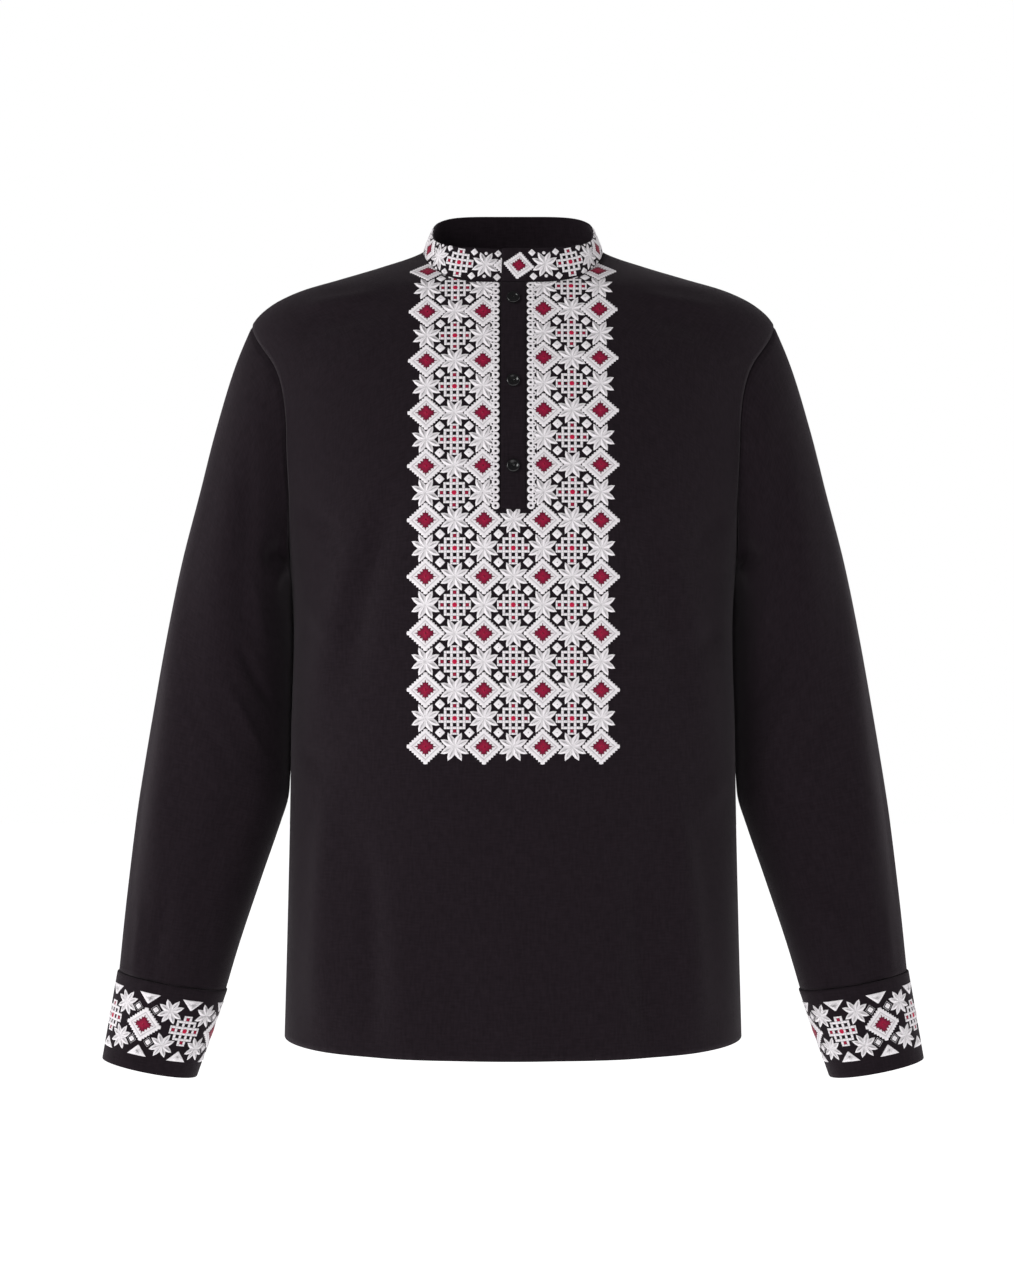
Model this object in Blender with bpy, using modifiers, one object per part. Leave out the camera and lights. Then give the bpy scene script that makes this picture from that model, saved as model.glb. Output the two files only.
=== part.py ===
"""A man's black pullover shirt, filled out as when worn: a front with a half placket, a back,
two set-in sleeves with cuffs, a stand collar with lapped ends and three buttons.

Run with: blender --background --python part.py

The origin is on the centre line at the height where the shoulder line meets the collar.
+Z is up, the front faces -Y and the wearer's left is at +X. Tables and sizes are in
millimetres; MM turns them into metres when a mesh is made. A "drop" is a depth below the
origin. Every cloth piece is a wall whose outer face is given by its sections.
"""
import math

import bpy
import numpy as np

MM = 0.001

# Thickness of the pieces and the gap left at every seam
CLOTH = 1.2
COLLAR_CLOTH = 2.2
CUFF_CLOTH = 2.2
PLACKET_CLOTH = 1.6
SEAM_GAP = 0.3

# Neckline: half width, its drop at the centre front and its rise at the centre back
NECK_HALF = 80.0
NECK_FRONT_DROP = 34.5
NECK_BACK_RISE = 8.0

# Armhole: the drops of the shoulder tip and of the underarm point
TIP_DROP = 64.0
UNDERARM_DROP = 290.0

# Hem: drop at the side seams, and how much lower the centre front and back hang
HEM_DROP = 700.0
HEM_DIP = 8.0

# Front opening, filled by the upper placket
SLOT_HALF = 10.8
SLOT_END_DROP = 236.0

# Collar: half width and half depth of the upper edge, its height and its forward slope
RIM_HALF = 72.0
RIM_DEPTH = 58.0
RIM_MID_Y = 1.0
RIM_HEIGHT = 17.6
RIM_SLOPE = 0.375
RIM_SQUARE = 3.5
COLLAR_SWELL = 0.8
LAP_REACH = 40.0

# Under placket: its two sides, its clearance behind the upper one, and how far it runs below
UNDER_SIDES = (-14.0, 10.2)
UNDER_CLEAR = 1.0
UNDER_TAIL = 8.0

# Buttons
BUTTON_RADIUS = 5.8
BUTTON_THICK = 2.6
BUTTON_DROPS = (50.0, 124.5, 199.0)

# Mesh steps: rows along the armhole, of which the first ones end on the neckline
ARM_STEPS = 14
NECK_STEPS = 7
SLOT_STEPS = 5
LOW_STEPS = 6
PANEL_STEPS = 9
CUFF_STEPS = 3
BUTTON_STEPS = 20

BLACK_CLOTH = (0.0168, 0.0137, 0.0160, 1.0)
BLACK_BUTTON = (0.004, 0.004, 0.0045, 1.0)


def table(names, rows):
    """Named columns of a table, read down its rows."""
    return dict(zip(names.split(), np.array(rows, dtype=float).T))


# Level sections of the body, each a rounded oval: its half width, how far its front and its
# back stand from the side seams, and how square it is (2 is an ellipse). Above the shoulder
# tips the half width is the shoulder line.
TORSO = table(
    "drop half_width front back square",
    [
        (-8.0, 71.6, 4.0, 62.0, 2.00),
        (0.0, 80.0, 12.0, 66.0, 2.00),
        (14.0, 117.6, 37.0, 75.0, 2.00),
        (26.2, 158.0, 55.0, 81.0, 2.00),
        (35.0, 188.0, 64.5, 85.0, 2.00),
        (43.6, 208.0, 70.0, 89.0, 2.00),
        (54.0, 223.5, 75.5, 93.0, 2.00),
        (64.0, 232.5, 79.5, 96.0, 2.00),
        (80.0, 236.5, 87.0, 102.0, 2.05),
        (97.0, 236.0, 94.5, 107.0, 2.10),
        (125.0, 233.0, 104.0, 113.5, 2.15),
        (177.0, 222.0, 117.5, 122.0, 2.25),
        (240.0, 207.0, 131.0, 126.0, 2.30),
        (290.0, 199.0, 135.0, 126.0, 2.30),
        (440.0, 198.5, 135.0, 121.0, 2.35),
        (600.0, 201.5, 133.0, 123.0, 2.40),
        (710.0, 204.5, 131.0, 127.0, 2.40),
    ],
)

# How far the armhole seam lies inside the body's own half width
ARMHOLE = table(
    "drop inset",
    [
        (64.0, 0.0),
        (75.0, 5.0),
        (89.0, 14.0),
        (106.0, 24.5),
        (128.0, 29.5),
        (152.0, 28.0),
        (177.0, 23.0),
        (226.0, 13.0),
        (265.0, 4.6),
        (290.0, 0.0),
    ],
)

# The sleeve's outer and inner outline, seen from the front
SLEEVE_OUTER = table(
    "drop x",
    [
        (64.0, 232.5),
        (92.0, 244.4),
        (162.0, 266.4),
        (213.0, 279.4),
        (278.0, 296.4),
        (348.0, 310.9),
        (406.0, 321.2),
        (498.0, 336.0),
        (570.0, 344.0),
        (641.0, 350.6),
    ],
)
SLEEVE_INNER = table(
    "drop x",
    [
        (290.0, 199.0),
        (300.0, 200.8),
        (340.0, 201.2),
        (440.0, 200.8),
        (470.0, 200.8),
        (490.0, 202.2),
        (512.0, 208.8),
        (560.0, 225.0),
        (626.0, 246.5),
        (659.0, 256.0),
    ],
)

# Rings of the sleeve: where each starts on the outer and inner outline, half its depth from
# front to back, and its middle's place in depth. The first is the armhole.
SLEEVE_RINGS = table(
    "outer_drop inner_drop depth mid_y",
    [
        (64.0, 290.0, 60.0, 0.0),
        (76.0, 293.0, 61.0, 0.0),
        (98.0, 299.0, 63.0, 0.0),
        (130.0, 308.0, 66.0, 1.0),
        (170.0, 320.0, 69.0, 2.0),
        (215.0, 337.0, 71.0, 3.0),
        (262.0, 360.0, 71.0, 4.0),
        (312.0, 389.0, 69.0, 5.0),
        (362.0, 422.0, 66.5, 5.0),
        (412.0, 456.0, 64.0, 4.0),
        (462.0, 493.0, 61.0, 2.0),
        (512.0, 537.0, 58.0, -2.0),
        (560.0, 581.0, 54.0, -7.0),
        (603.0, 622.0, 49.0, -12.0),
        (641.0, 659.0, 43.5, -16.0),
    ],
)
CAP_RINGS = 7
SLEEVE_SQUARE = 2.15

# The cuff's upper and lower ring
CUFF_RINGS = table(
    "outer_x outer_drop inner_x inner_drop depth mid_y",
    [
        (352.1, 641.5, 254.7, 659.5, 45.0, -16.0),
        (365.0, 719.0, 281.2, 736.0, 38.5, -22.0),
    ],
)

# The largest folds of the body, on the wearer's left half as seen from the front and, for
# the back, through it: the two ends of each, its half width and its height. A trough is
# negative. The other half has the same ones, scaled by its own column.
BODY_FOLDS = table(
    "side x0 drop0 x1 drop1 width height other",
    [
        (-1, 112, 230, 168, 430, 24, -4.0, 0.8),
        (-1, 150, 520, 158, 720, 20, 4.0, 1.1),
        (-1, 118, 560, 122, 720, 17, -3.5, 1.0),
        (-1, 120, 70, 190, 62, 11, 2.5, 1.0),
        (1, 96, 180, 150, 400, 26, -4.5, 0.9),
        (1, 60, 470, 74, 720, 24, 4.5, 1.0),
        (1, 140, 500, 150, 720, 20, -4.0, 0.8),
    ],
)

# The largest folds of a sleeve: the angle round it (0 outside, 90 front, 180 inside) and the
# ring where each starts and ends, its half width in degrees and its height
SLEEVE_FOLDS = table(
    "angle0 ring0 angle1 ring1 width height",
    [
        (70, 2, 115, 8, 22, -3.5),
        (40, 6, 62, 13, 20, 3.0),
        (120, 9, 88, 13, 18, -3.0),
        (255, 3, 285, 9, 24, -3.5),
        (300, 8, 275, 13, 20, 3.0),
    ],
)


def read(tab, name, at):
    """A smooth curve through one column, read at values of the table's first column."""
    keys = next(iter(tab.values()))
    values = tab[name]
    slopes = np.gradient(values, keys)
    at = np.clip(at, keys[0], keys[-1])
    i = np.clip(np.searchsorted(keys, at) - 1, 0, len(keys) - 2)
    span = keys[i + 1] - keys[i]
    t = (at - keys[i]) / span
    start = (1 + 2 * t) * (1 - t) ** 2 * values[i] + t * (1 - t) ** 2 * span * slopes[i]
    end = t**2 * (3 - 2 * t) * values[i + 1] - t**2 * (1 - t) * span * slopes[i + 1]
    return start + end


def unit(vectors):
    """Each vector at length one."""
    return vectors / np.linalg.norm(vectors, axis=-1, keepdims=True)


def smooth_step(t):
    """0 to 1 with no slope at either end."""
    t = np.clip(t, 0.0, 1.0)
    return t * t * (3 - 2 * t)


def torso(angle, drop, side):
    """A point of the body: angle 0 is the side seam, a quarter turn the centre line; side
    is -1 for the front and 1 for the back."""
    power = 2.0 / read(TORSO, "square", drop)
    x = read(TORSO, "half_width", drop) * np.cos(angle) ** power
    y = side * read(TORSO, "front" if side < 0 else "back", drop) * np.sin(angle) ** power
    return np.stack([x, y, -drop + 0.0 * x], axis=-1)


def torso_angle(x, drop):
    """The angle at which the section at this drop has this half width."""
    half = read(TORSO, "half_width", drop)
    ratio = np.clip(x / half, 0.0, 1.0)
    return np.arccos(ratio ** (read(TORSO, "square", drop) / 2.0))


def torso_normal(points, side):
    """The outward direction of the body at its points, from the slope of the oval's own
    equation |x/a|^n + |y/b|^n."""
    x, y, drop = np.abs(points[..., 0]), np.abs(points[..., 1]), -points[..., 2]
    depth_name = "front" if side < 0 else "back"

    def oval(d):
        n = read(TORSO, "square", d)
        return (x / read(TORSO, "half_width", d)) ** n + (y / read(TORSO, depth_name, d)) ** n

    n = read(TORSO, "square", drop)
    a, b = read(TORSO, "half_width", drop), read(TORSO, depth_name, drop)
    step = 0.5
    slope = (oval(drop - step) - oval(drop + step)) / (2 * step)
    out = np.stack([n * x ** (n - 1) / a**n, side * n * y ** (n - 1) / b**n, slope], axis=-1)
    return unit(out)


def neck_drop(x, side):
    """The neckline's drop at a half width, lower in front, slightly raised behind."""
    part = np.clip(x / NECK_HALF, 0.0, 1.0)
    if side < 0:
        return NECK_FRONT_DROP * (1 - part**4) ** 0.65
    return -NECK_BACK_RISE * (1 - part**2)


def neckline(side):
    """Half widths and drops of the neckline, from the shoulder seam to the opening."""
    end = math.asin(SLOT_HALF / NECK_HALF)
    x = NECK_HALF * np.sin(np.linspace(math.pi / 2, end, NECK_STEPS + 1))
    return x, neck_drop(x, side)


def armhole(side):
    """Drops and body angles of the armhole, from the shoulder tip to the underarm."""
    middle, reach = (UNDERARM_DROP + TIP_DROP) / 2, (UNDERARM_DROP - TIP_DROP) / 2
    drop = middle - reach * np.cos(np.linspace(0.0, math.pi, ARM_STEPS + 1))
    inset = np.maximum(read(ARMHOLE, "inset", drop), 0.0)
    inset[[0, -1]] = 0.0
    x = read(TORSO, "half_width", drop) - inset
    return drop, torso_angle(x, drop)


def shoulder_line(steps):
    """Drops along the shoulder seam, from the tip to the neck, evenly spaced in width."""
    drops = np.linspace(0.0, TIP_DROP, 200)
    widths = read(TORSO, "half_width", drops)
    return np.interp(np.linspace(widths[-1], NECK_HALF, steps + 1), widths, drops)


def body_folds(points, side):
    """Height of the largest folds at points of the body."""
    height = np.zeros(points.shape[:-1])
    x, drop = np.abs(points[..., 0]), -points[..., 2]
    for i in np.flatnonzero(BODY_FOLDS["side"] == side):
        row = {name: values[i] for name, values in BODY_FOLDS.items()}
        run = np.array([row["x1"] - row["x0"], row["drop1"] - row["drop0"]])
        length = np.hypot(*run)
        along = ((x - row["x0"]) * run[0] + (drop - row["drop0"]) * run[1]) / length**2
        across = ((x - row["x0"]) * run[1] - (drop - row["drop0"]) * run[0]) / length
        ends = smooth_step(along / 0.35) * smooth_step((1 - along) / 0.35)
        if row["drop1"] > HEM_DROP:
            ends = smooth_step(along / 0.35)
        share = np.where(points[..., 0] < 0, row["other"], 1.0)
        height += share * row["height"] * ends * np.exp(-((across / row["width"]) ** 2))
    return height


def half_panel(side):
    """The wearer's left half of the front (side -1) or back (side 1): rows from the shoulder
    seam to the hem, columns from the armhole and side seam to the opening's edge."""
    arm_drop, arm_angle = armhole(side)
    neck_x, neck_d = neckline(side)
    below = ARM_STEPS - NECK_STEPS
    if side < 0:
        slot = np.linspace(neck_d[-1], SLOT_END_DROP, SLOT_STEPS + 1)[1:]
        tail = np.linspace(SLOT_END_DROP, UNDERARM_DROP, below - SLOT_STEPS + 1)[1:]
        middle_drop = np.concatenate([neck_d, slot, tail])
    else:
        tail = np.linspace(neck_d[-1], UNDERARM_DROP, below + 1)[1:]
        middle_drop = np.concatenate([neck_d, tail])
    middle_x = np.concatenate([neck_x, np.full(below, SLOT_HALF)])
    middle_angle = torso_angle(middle_x, middle_drop)

    across = np.linspace(0.0, 1.0, PANEL_STEPS + 1)
    down = np.linspace(0.0, 1.0, ARM_STEPS + 1)[:, None]
    seam = shoulder_line(PANEL_STEPS)
    bow = seam - (1 - across) * TIP_DROP
    angle = (1 - across) * arm_angle[:, None] + across * middle_angle[:, None]
    drop = (1 - across) * arm_drop[:, None] + across * middle_drop[:, None] + (1 - down) * bow
    low = np.linspace(0.0, 1.0, LOW_STEPS + 1)[1:, None]
    hem = HEM_DROP + HEM_DIP * np.sin(angle[-1:])
    low_drop = UNDERARM_DROP + (hem - UNDERARM_DROP) * low
    low_angle = across * torso_angle(SLOT_HALF, low_drop[:, -1:])
    return torso(np.vstack([angle, low_angle]), np.vstack([drop, low_drop]), side)


def mirrored(points):
    """The same points on the wearer's right."""
    return points * np.array([-1.0, 1.0, 1.0])


def panel(side, rim_normals):
    """Skin, outward directions and used cells of a whole front or back. The folds die out
    towards the seams, and the seams keep their gap."""
    left = half_panel(side)
    normals = torso_normal(left, side)
    normals[: ARM_STEPS + 1, 0] = rim_normals
    halves = []
    for points, out in ((mirrored(left), mirrored(normals)), (left, normals)):
        rows, columns = points.shape[:2]
        from_top = smooth_step(np.arange(rows) / 3.0)[:, None]
        column = np.arange(columns)
        from_sides = smooth_step(column / 2.0) * smooth_step((columns - 1 - column) / 2.0)
        moved = points + out * (body_folds(points, side) * from_top * from_sides)[..., None]
        moved[0, :, 1] += side * SEAM_GAP / 2
        moved[ARM_STEPS:, 0, 1] += side * SEAM_GAP / 2
        halves.append((moved, out))
    (right_skin, right_out), (left_skin, left_out) = halves
    skin = np.concatenate([right_skin, left_skin[:, ::-1]], axis=1)
    out = np.concatenate([right_out, left_out[:, ::-1]], axis=1)
    cells = np.ones((skin.shape[0] - 1, skin.shape[1] - 1), dtype=bool)
    first = NECK_STEPS + SLOT_STEPS if side < 0 else NECK_STEPS
    cells[:first, PANEL_STEPS] = False
    return skin, out, cells


def grid_normals(skin, closed):
    """Outward directions of a skin whose columns run round it and whose rows run down it."""
    down = np.gradient(skin, axis=0)
    if closed:
        round_it = np.roll(skin, -1, axis=1) - np.roll(skin, 1, axis=1)
    else:
        round_it = np.gradient(skin, axis=1)
    return unit(np.cross(round_it, down))


def ring_points(outer, inner, depth, mid_y, turn):
    """A rounded oval through an outer and an inner point (x, drop): half depth from front to
    back. The turn starts outside and passes the front."""
    along = (1 + np.cos(turn)) / 2
    power = 2.0 / SLEEVE_SQUARE
    x = inner[0] + along * (outer[0] - inner[0])
    drop = inner[1] + along * (outer[1] - inner[1])
    y = mid_y - depth * np.sign(np.sin(turn)) * np.abs(np.sin(turn)) ** power
    return np.stack([x, y, -drop], axis=-1)


def sleeve_skin():
    """The wearer's left sleeve: rings from the armhole to the cuff seam, each from the
    outside round the front. The first rings keep part of the armhole's own shape."""
    front_drop, front_angle = armhole(-1)
    back_drop, back_angle = armhole(1)
    front = torso(front_angle, front_drop, -1)
    back = torso(back_angle, back_drop, 1)
    seam = np.vstack([front, back[-2:0:-1]])
    columns = 2 * ARM_STEPS
    turn = 2 * math.pi * np.arange(columns) / columns
    rings = []
    for i in range(len(SLEEVE_RINGS["depth"])):
        row = {name: values[i] for name, values in SLEEVE_RINGS.items()}
        outer = (read(SLEEVE_OUTER, "x", row["outer_drop"]), row["outer_drop"])
        inner = (read(SLEEVE_INNER, "x", row["inner_drop"]), row["inner_drop"])
        ring = ring_points(outer, inner, row["depth"], row["mid_y"], turn)
        if i == 0:
            first = ring
        keep = max(1.0 - i / CAP_RINGS, 0.0) ** 2
        rings.append(ring + keep * (seam - first))
    return np.array(rings)


def sleeve_folds(skin):
    """Height of the largest folds of a sleeve at its rings and columns."""
    rings, columns = skin.shape[:2]
    ring = np.arange(rings)[:, None]
    angle = (360.0 * np.arange(columns) / columns)[None, :]
    height = np.zeros((rings, columns))
    for i in range(len(SLEEVE_FOLDS["width"])):
        row = {name: values[i] for name, values in SLEEVE_FOLDS.items()}
        along = (ring - row["ring0"]) / (row["ring1"] - row["ring0"])
        middle = row["angle0"] + np.clip(along, 0, 1) * (row["angle1"] - row["angle0"])
        ends = smooth_step(along / 0.4) * smooth_step((1 - along) / 0.4)
        height += row["height"] * ends * np.exp(-(((angle - middle) / row["width"]) ** 2))
    return height


def cuff_skin():
    """The wearer's left cuff, from its seam to its lower edge."""
    turn = 2 * math.pi * np.arange(2 * ARM_STEPS) / (2 * ARM_STEPS)
    ends = []
    for i in (0, 1):
        row = {name: values[i] for name, values in CUFF_RINGS.items()}
        outer, inner = (row["outer_x"], row["outer_drop"]), (row["inner_x"], row["inner_drop"])
        ends.append(ring_points(outer, inner, row["depth"], row["mid_y"], turn))
    down = np.linspace(0.0, 1.0, CUFF_STEPS + 1)[:, None, None]
    return (1 - down) * ends[0] + down * ends[1]


def collar_skin():
    """The collar strip: columns from the end that lies under, round the wearer's right, the
    back and the wearer's left, to the end that lies over; rows from its base to its rim."""
    bases = []
    for side in (-1, 1):
        x, drop = neckline(side)
        bases.append(torso(torso_angle(x, drop), drop, side))
    front, back = bases
    lap = []
    for x in (0.0, SLOT_HALF - SEAM_GAP):
        at = np.array([x])
        lap.append(torso(torso_angle(at, neck_drop(at, -1)), neck_drop(at, -1), -1))
    middle, far = lap
    base = np.vstack([far, middle, mirrored(front[::-1]), mirrored(back[1:]), back[::-1],
                      front[1:], middle, mirrored(far)])
    rim_x = base[:, 0] * RIM_HALF / NECK_HALF
    share = np.clip(1 - np.abs(rim_x / RIM_HALF) ** RIM_SQUARE, 0.0, 1.0) ** (1 / RIM_SQUARE)
    rim_y = RIM_MID_Y + np.sign(base[:, 1]) * RIM_DEPTH * share
    rim = np.stack([rim_x, rim_y, RIM_HEIGHT + RIM_SLOPE * rim_y], axis=-1)
    base = base + np.array([0.0, 0.0, SEAM_GAP + 0.1])
    skin = np.array([rim, (base + rim) / 2, base])
    out = grid_normals(skin, closed=False)
    skin[1] += COLLAR_SWELL * out[1]
    count = len(base)
    reach = np.where(np.arange(count) < count // 2, base[:, 0] + LAP_REACH, 0.0)
    reach = np.where(base[:, 1] < 0, reach, 0.0)
    under = smooth_step(reach / (LAP_REACH - SLOT_HALF))
    skin -= out * (under * (COLLAR_CLOTH + SEAM_GAP + 0.1))[:, None]
    return skin, out


def strip_skin(sides, top, bottom, rise):
    """A strip on the centre front between two sides and two drops, moved out by its rise."""
    rows = np.linspace(top, bottom, SLOT_STEPS + 1)[:, None]
    x = np.linspace(sides[0], sides[1], 3)[None, :] + 0.0 * rows
    drop = rows + 0.0 * x
    points = torso(torso_angle(np.abs(x), drop), drop, -1)
    points[..., 0] = x
    out = torso_normal(points, -1)
    out[..., 0] *= np.sign(x)
    return points + out * rise, out


def principled(name, colour, roughness):
    """A material with one Principled shader."""
    material = bpy.data.materials.new(name)
    material.use_nodes = True
    shader = material.node_tree.nodes["Principled BSDF"]
    shader.inputs["Base Color"].default_value = colour
    shader.inputs["Roughness"].default_value = roughness
    shader.inputs["Metallic"].default_value = 0.0
    material.diffuse_color = colour
    return material


def wall(name, skin, out, thickness, material, parts, cells=None, closed=False):
    """A closed wall of cloth: an outer face through the skin, an inner face moved in by the
    thickness along the outward directions, and rims along every free edge."""
    rows, columns = skin.shape[:2]
    if cells is None:
        cells = np.ones((rows - 1, columns if closed else columns - 1), dtype=bool)
    count = rows * columns
    points = np.vstack([skin.reshape(-1, 3), (skin - out * thickness).reshape(-1, 3)])
    turned = np.cross(skin[1:, :-1] - skin[:-1, :-1], skin[:-1, 1:] - skin[:-1, :-1])
    order = 1 if np.sum(turned * out[:-1, :-1]) > 0 else -1
    faces, edges = [], set()
    for r, c in np.argwhere(cells):
        right = (c + 1) % columns
        corners = [r * columns + c, (r + 1) * columns + c,
                   (r + 1) * columns + right, r * columns + right][::order]
        faces.append(corners)
        faces.append([i + count for i in reversed(corners)])
        edges.update(zip(corners, corners[1:] + corners[:1]))
    for start, end in sorted(edges):
        if (end, start) not in edges:
            faces.append([end, start, start + count, end + count])
    used = sorted({i for face in faces for i in face})
    place = {old: new for new, old in enumerate(used)}
    mesh = bpy.data.meshes.new(name)
    mesh.from_pydata((points[used] * MM).tolist(), [], [[place[i] for i in f] for f in faces])
    mesh.shade_smooth()
    mesh.set_sharp_from_angle(angle=math.radians(50))
    mesh.materials.append(material)
    piece = bpy.data.objects.new(name, mesh)
    parts.objects.link(piece)
    split = piece.modifiers.new("Triangles", "TRIANGULATE")
    split.quad_method = "FIXED"
    return piece


def button(name, drop, material, parts):
    """A turned button on the upper placket: a raised round rim about a shallow dish."""
    r, t = BUTTON_RADIUS, BUTTON_THICK
    profile = [(0.0, 0.62 * t), (0.45 * r, 0.66 * t), (0.66 * r, 0.96 * t), (0.82 * r, t),
               (0.95 * r, 0.84 * t), (r, 0.55 * t), (0.93 * r, 0.22 * t), (0.6 * r, 0.0), (0.0, 0.0)]
    mesh = bpy.data.meshes.new(name)
    edges = [(i, i + 1) for i in range(len(profile) - 1)]
    mesh.from_pydata([(x * MM, 0.0, z * MM) for x, z in profile], edges, [])
    mesh.materials.append(material)
    piece = bpy.data.objects.new(name, mesh)
    parts.objects.link(piece)
    turn = piece.modifiers.new("Turn", "SCREW")
    turn.steps = turn.render_steps = BUTTON_STEPS
    turn.use_merge_vertices = True
    turn.merge_threshold = 0.00001
    turn.use_smooth_shade = True
    place, out = strip_skin((-1.0, 1.0), drop, drop + 1.0, 2 * SEAM_GAP + 0.2)
    lean = math.atan2(-out[0, 1, 1], out[0, 1, 2])
    piece.location = place[0, 1] * MM
    piece.rotation_euler = (lean, 0.0, 0.0)
    return piece


def build():
    for old in list(bpy.data.objects):
        bpy.data.objects.remove(old, do_unlink=True)
    parts = bpy.data.collections.new("shirt")
    bpy.context.scene.collection.children.link(parts)
    cloth = principled("black_cloth", BLACK_CLOTH, 0.85)
    gloss = principled("black_button", BLACK_BUTTON, 0.15)

    sleeve = sleeve_skin()
    sleeve_out = grid_normals(sleeve, closed=True)
    sleeve = sleeve + sleeve_out * sleeve_folds(sleeve)[..., None]
    front_seam = np.arange(ARM_STEPS + 1)
    back_seam = np.r_[0, np.arange(2 * ARM_STEPS - 1, ARM_STEPS - 1, -1)]
    seam_out = sleeve_out[0].copy()
    shift = np.zeros_like(sleeve[0])
    for side, seam in ((-1, front_seam), (1, back_seam)):
        drop, angle = armhole(side)
        body_out = torso_normal(torso(angle, drop, side), side)
        agree = np.clip(np.sum(body_out * seam_out[seam], axis=-1, keepdims=True), 0.0, 1.0)
        rim = unit(body_out + agree * seam_out[seam])
        sleeve_out[0, seam] = unit(seam_out[seam] + agree * body_out)
        skin, out, cells = panel(side, rim)
        name = "front" if side < 0 else "back"
        wall(name, skin, out, CLOTH, cloth, parts, cells=cells)
        away = unit(unit(sleeve[1, seam] - sleeve[0, seam]) + 0.6 * body_out)
        shift[seam] = away * (SEAM_GAP + 0.1)
    sleeve[0] += shift

    wall("sleeve_left", sleeve, sleeve_out, CLOTH, cloth, parts, closed=True)
    wall("sleeve_right", mirrored(sleeve)[:, ::-1], mirrored(sleeve_out)[:, ::-1], CLOTH, cloth,
         parts, closed=True)
    cuff = cuff_skin()
    cuff_out = grid_normals(cuff, closed=True)
    wall("cuff_left", cuff, cuff_out, CUFF_CLOTH, cloth, parts, closed=True)
    wall("cuff_right", mirrored(cuff)[:, ::-1], mirrored(cuff_out)[:, ::-1], CUFF_CLOTH, cloth,
         parts, closed=True)

    collar, collar_out = collar_skin()
    wall("collar", collar, collar_out, COLLAR_CLOTH, cloth, parts)
    lap = SLOT_HALF - SEAM_GAP
    top, bottom = NECK_FRONT_DROP + SEAM_GAP, SLOT_END_DROP - SEAM_GAP
    upper, out = strip_skin((-lap, lap), top, bottom, SEAM_GAP)
    wall("placket_upper", upper, out, PLACKET_CLOTH, cloth, parts)
    sunk = SEAM_GAP - PLACKET_CLOTH - UNDER_CLEAR
    under, out = strip_skin(UNDER_SIDES, NECK_FRONT_DROP + 2.0, SLOT_END_DROP + UNDER_TAIL, sunk)
    wall("placket_under", under, out, CLOTH, cloth, parts)
    for i, drop in enumerate(BUTTON_DROPS, start=1):
        button(f"button_{i}", drop, gloss, parts)


build()
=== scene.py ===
# %% [markdown]
# # A black shirt with white and crimson embroidery
# The shirt stands filled out, as when it is worn. Its cut pieces already exist as plain solids.
# Here each piece gets real cloth, soft creases and its thread work. We start by loading the
# fixed frame, whose coordinates are in metres: +Z is up, and the front faces -Y.

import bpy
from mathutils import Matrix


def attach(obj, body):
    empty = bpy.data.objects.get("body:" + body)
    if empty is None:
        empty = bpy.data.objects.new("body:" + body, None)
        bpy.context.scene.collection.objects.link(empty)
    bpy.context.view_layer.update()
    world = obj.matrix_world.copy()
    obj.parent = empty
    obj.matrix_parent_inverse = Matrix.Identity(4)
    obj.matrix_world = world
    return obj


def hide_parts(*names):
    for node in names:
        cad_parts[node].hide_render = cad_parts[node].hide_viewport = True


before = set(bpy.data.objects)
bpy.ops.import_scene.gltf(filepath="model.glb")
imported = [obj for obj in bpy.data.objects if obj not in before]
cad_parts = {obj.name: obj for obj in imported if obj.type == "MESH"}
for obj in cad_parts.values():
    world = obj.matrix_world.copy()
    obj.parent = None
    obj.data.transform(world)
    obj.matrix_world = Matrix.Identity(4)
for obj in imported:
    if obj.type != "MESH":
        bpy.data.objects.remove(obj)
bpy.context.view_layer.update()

import math

import bpy
import numpy as np

MM = 0.001

# %% [markdown]
# ## Camera, light and floor
# The camera looks level at the middle of the shirt from almost three metres, through a long
# lens, so the sleeves aren't stretched. The world is a white wall to look at and a weaker, even
# fill to light with. Large area lamps from above, the sides and the front model the folds,
# and one small lamp on the left puts the gloss on the buttons.

# %% Camera
CAMERA_PLACE = (-0.0054, -2.7, -0.348)
camera = bpy.data.objects.new("camera", bpy.data.cameras.new("camera"))
camera.location = CAMERA_PLACE
camera.rotation_euler = (math.radians(90), 0.0, 0.0)
camera.data.sensor_fit = "HORIZONTAL"
camera.data.sensor_width = 36.0
camera.data.lens = 106.9
bpy.context.scene.collection.objects.link(camera)
bpy.context.scene.camera = camera
print("camera stands at", CAMERA_PLACE)

# %% World and lamps
scene = bpy.context.scene
scene.view_settings.view_transform = "Standard"
WALL_FILL = 0.22
world = bpy.data.worlds.new("white room")
world.use_nodes = True
backdrop = world.node_tree.nodes["Background"]
backdrop.inputs["Color"].default_value = (1.0, 1.0, 1.0, 1.0)
ray = world.node_tree.nodes.new("ShaderNodeLightPath")
seen = world.node_tree.nodes.new("ShaderNodeMapRange")
world.node_tree.links.new(ray.outputs["Is Camera Ray"], seen.inputs["Value"])
seen.inputs["To Min"].default_value = WALL_FILL
world.node_tree.links.new(seen.outputs["Result"], backdrop.inputs["Strength"])
scene.world = world


def lamp(name, place, aim, size, watts):
    """A square area lamp at a place, turned towards its aim."""
    data = bpy.data.lights.new(name, "AREA")
    data.size = size
    data.energy = watts
    piece = bpy.data.objects.new(name, data)
    away = np.array(place) - np.array(aim)
    flat = math.hypot(away[0], away[1])
    piece.location = place
    piece.rotation_euler = (math.atan2(flat, away[2]), 0.0, math.atan2(away[0], -away[1]))
    scene.collection.objects.link(piece)
    print("lamp", name, watts, "W")


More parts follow.
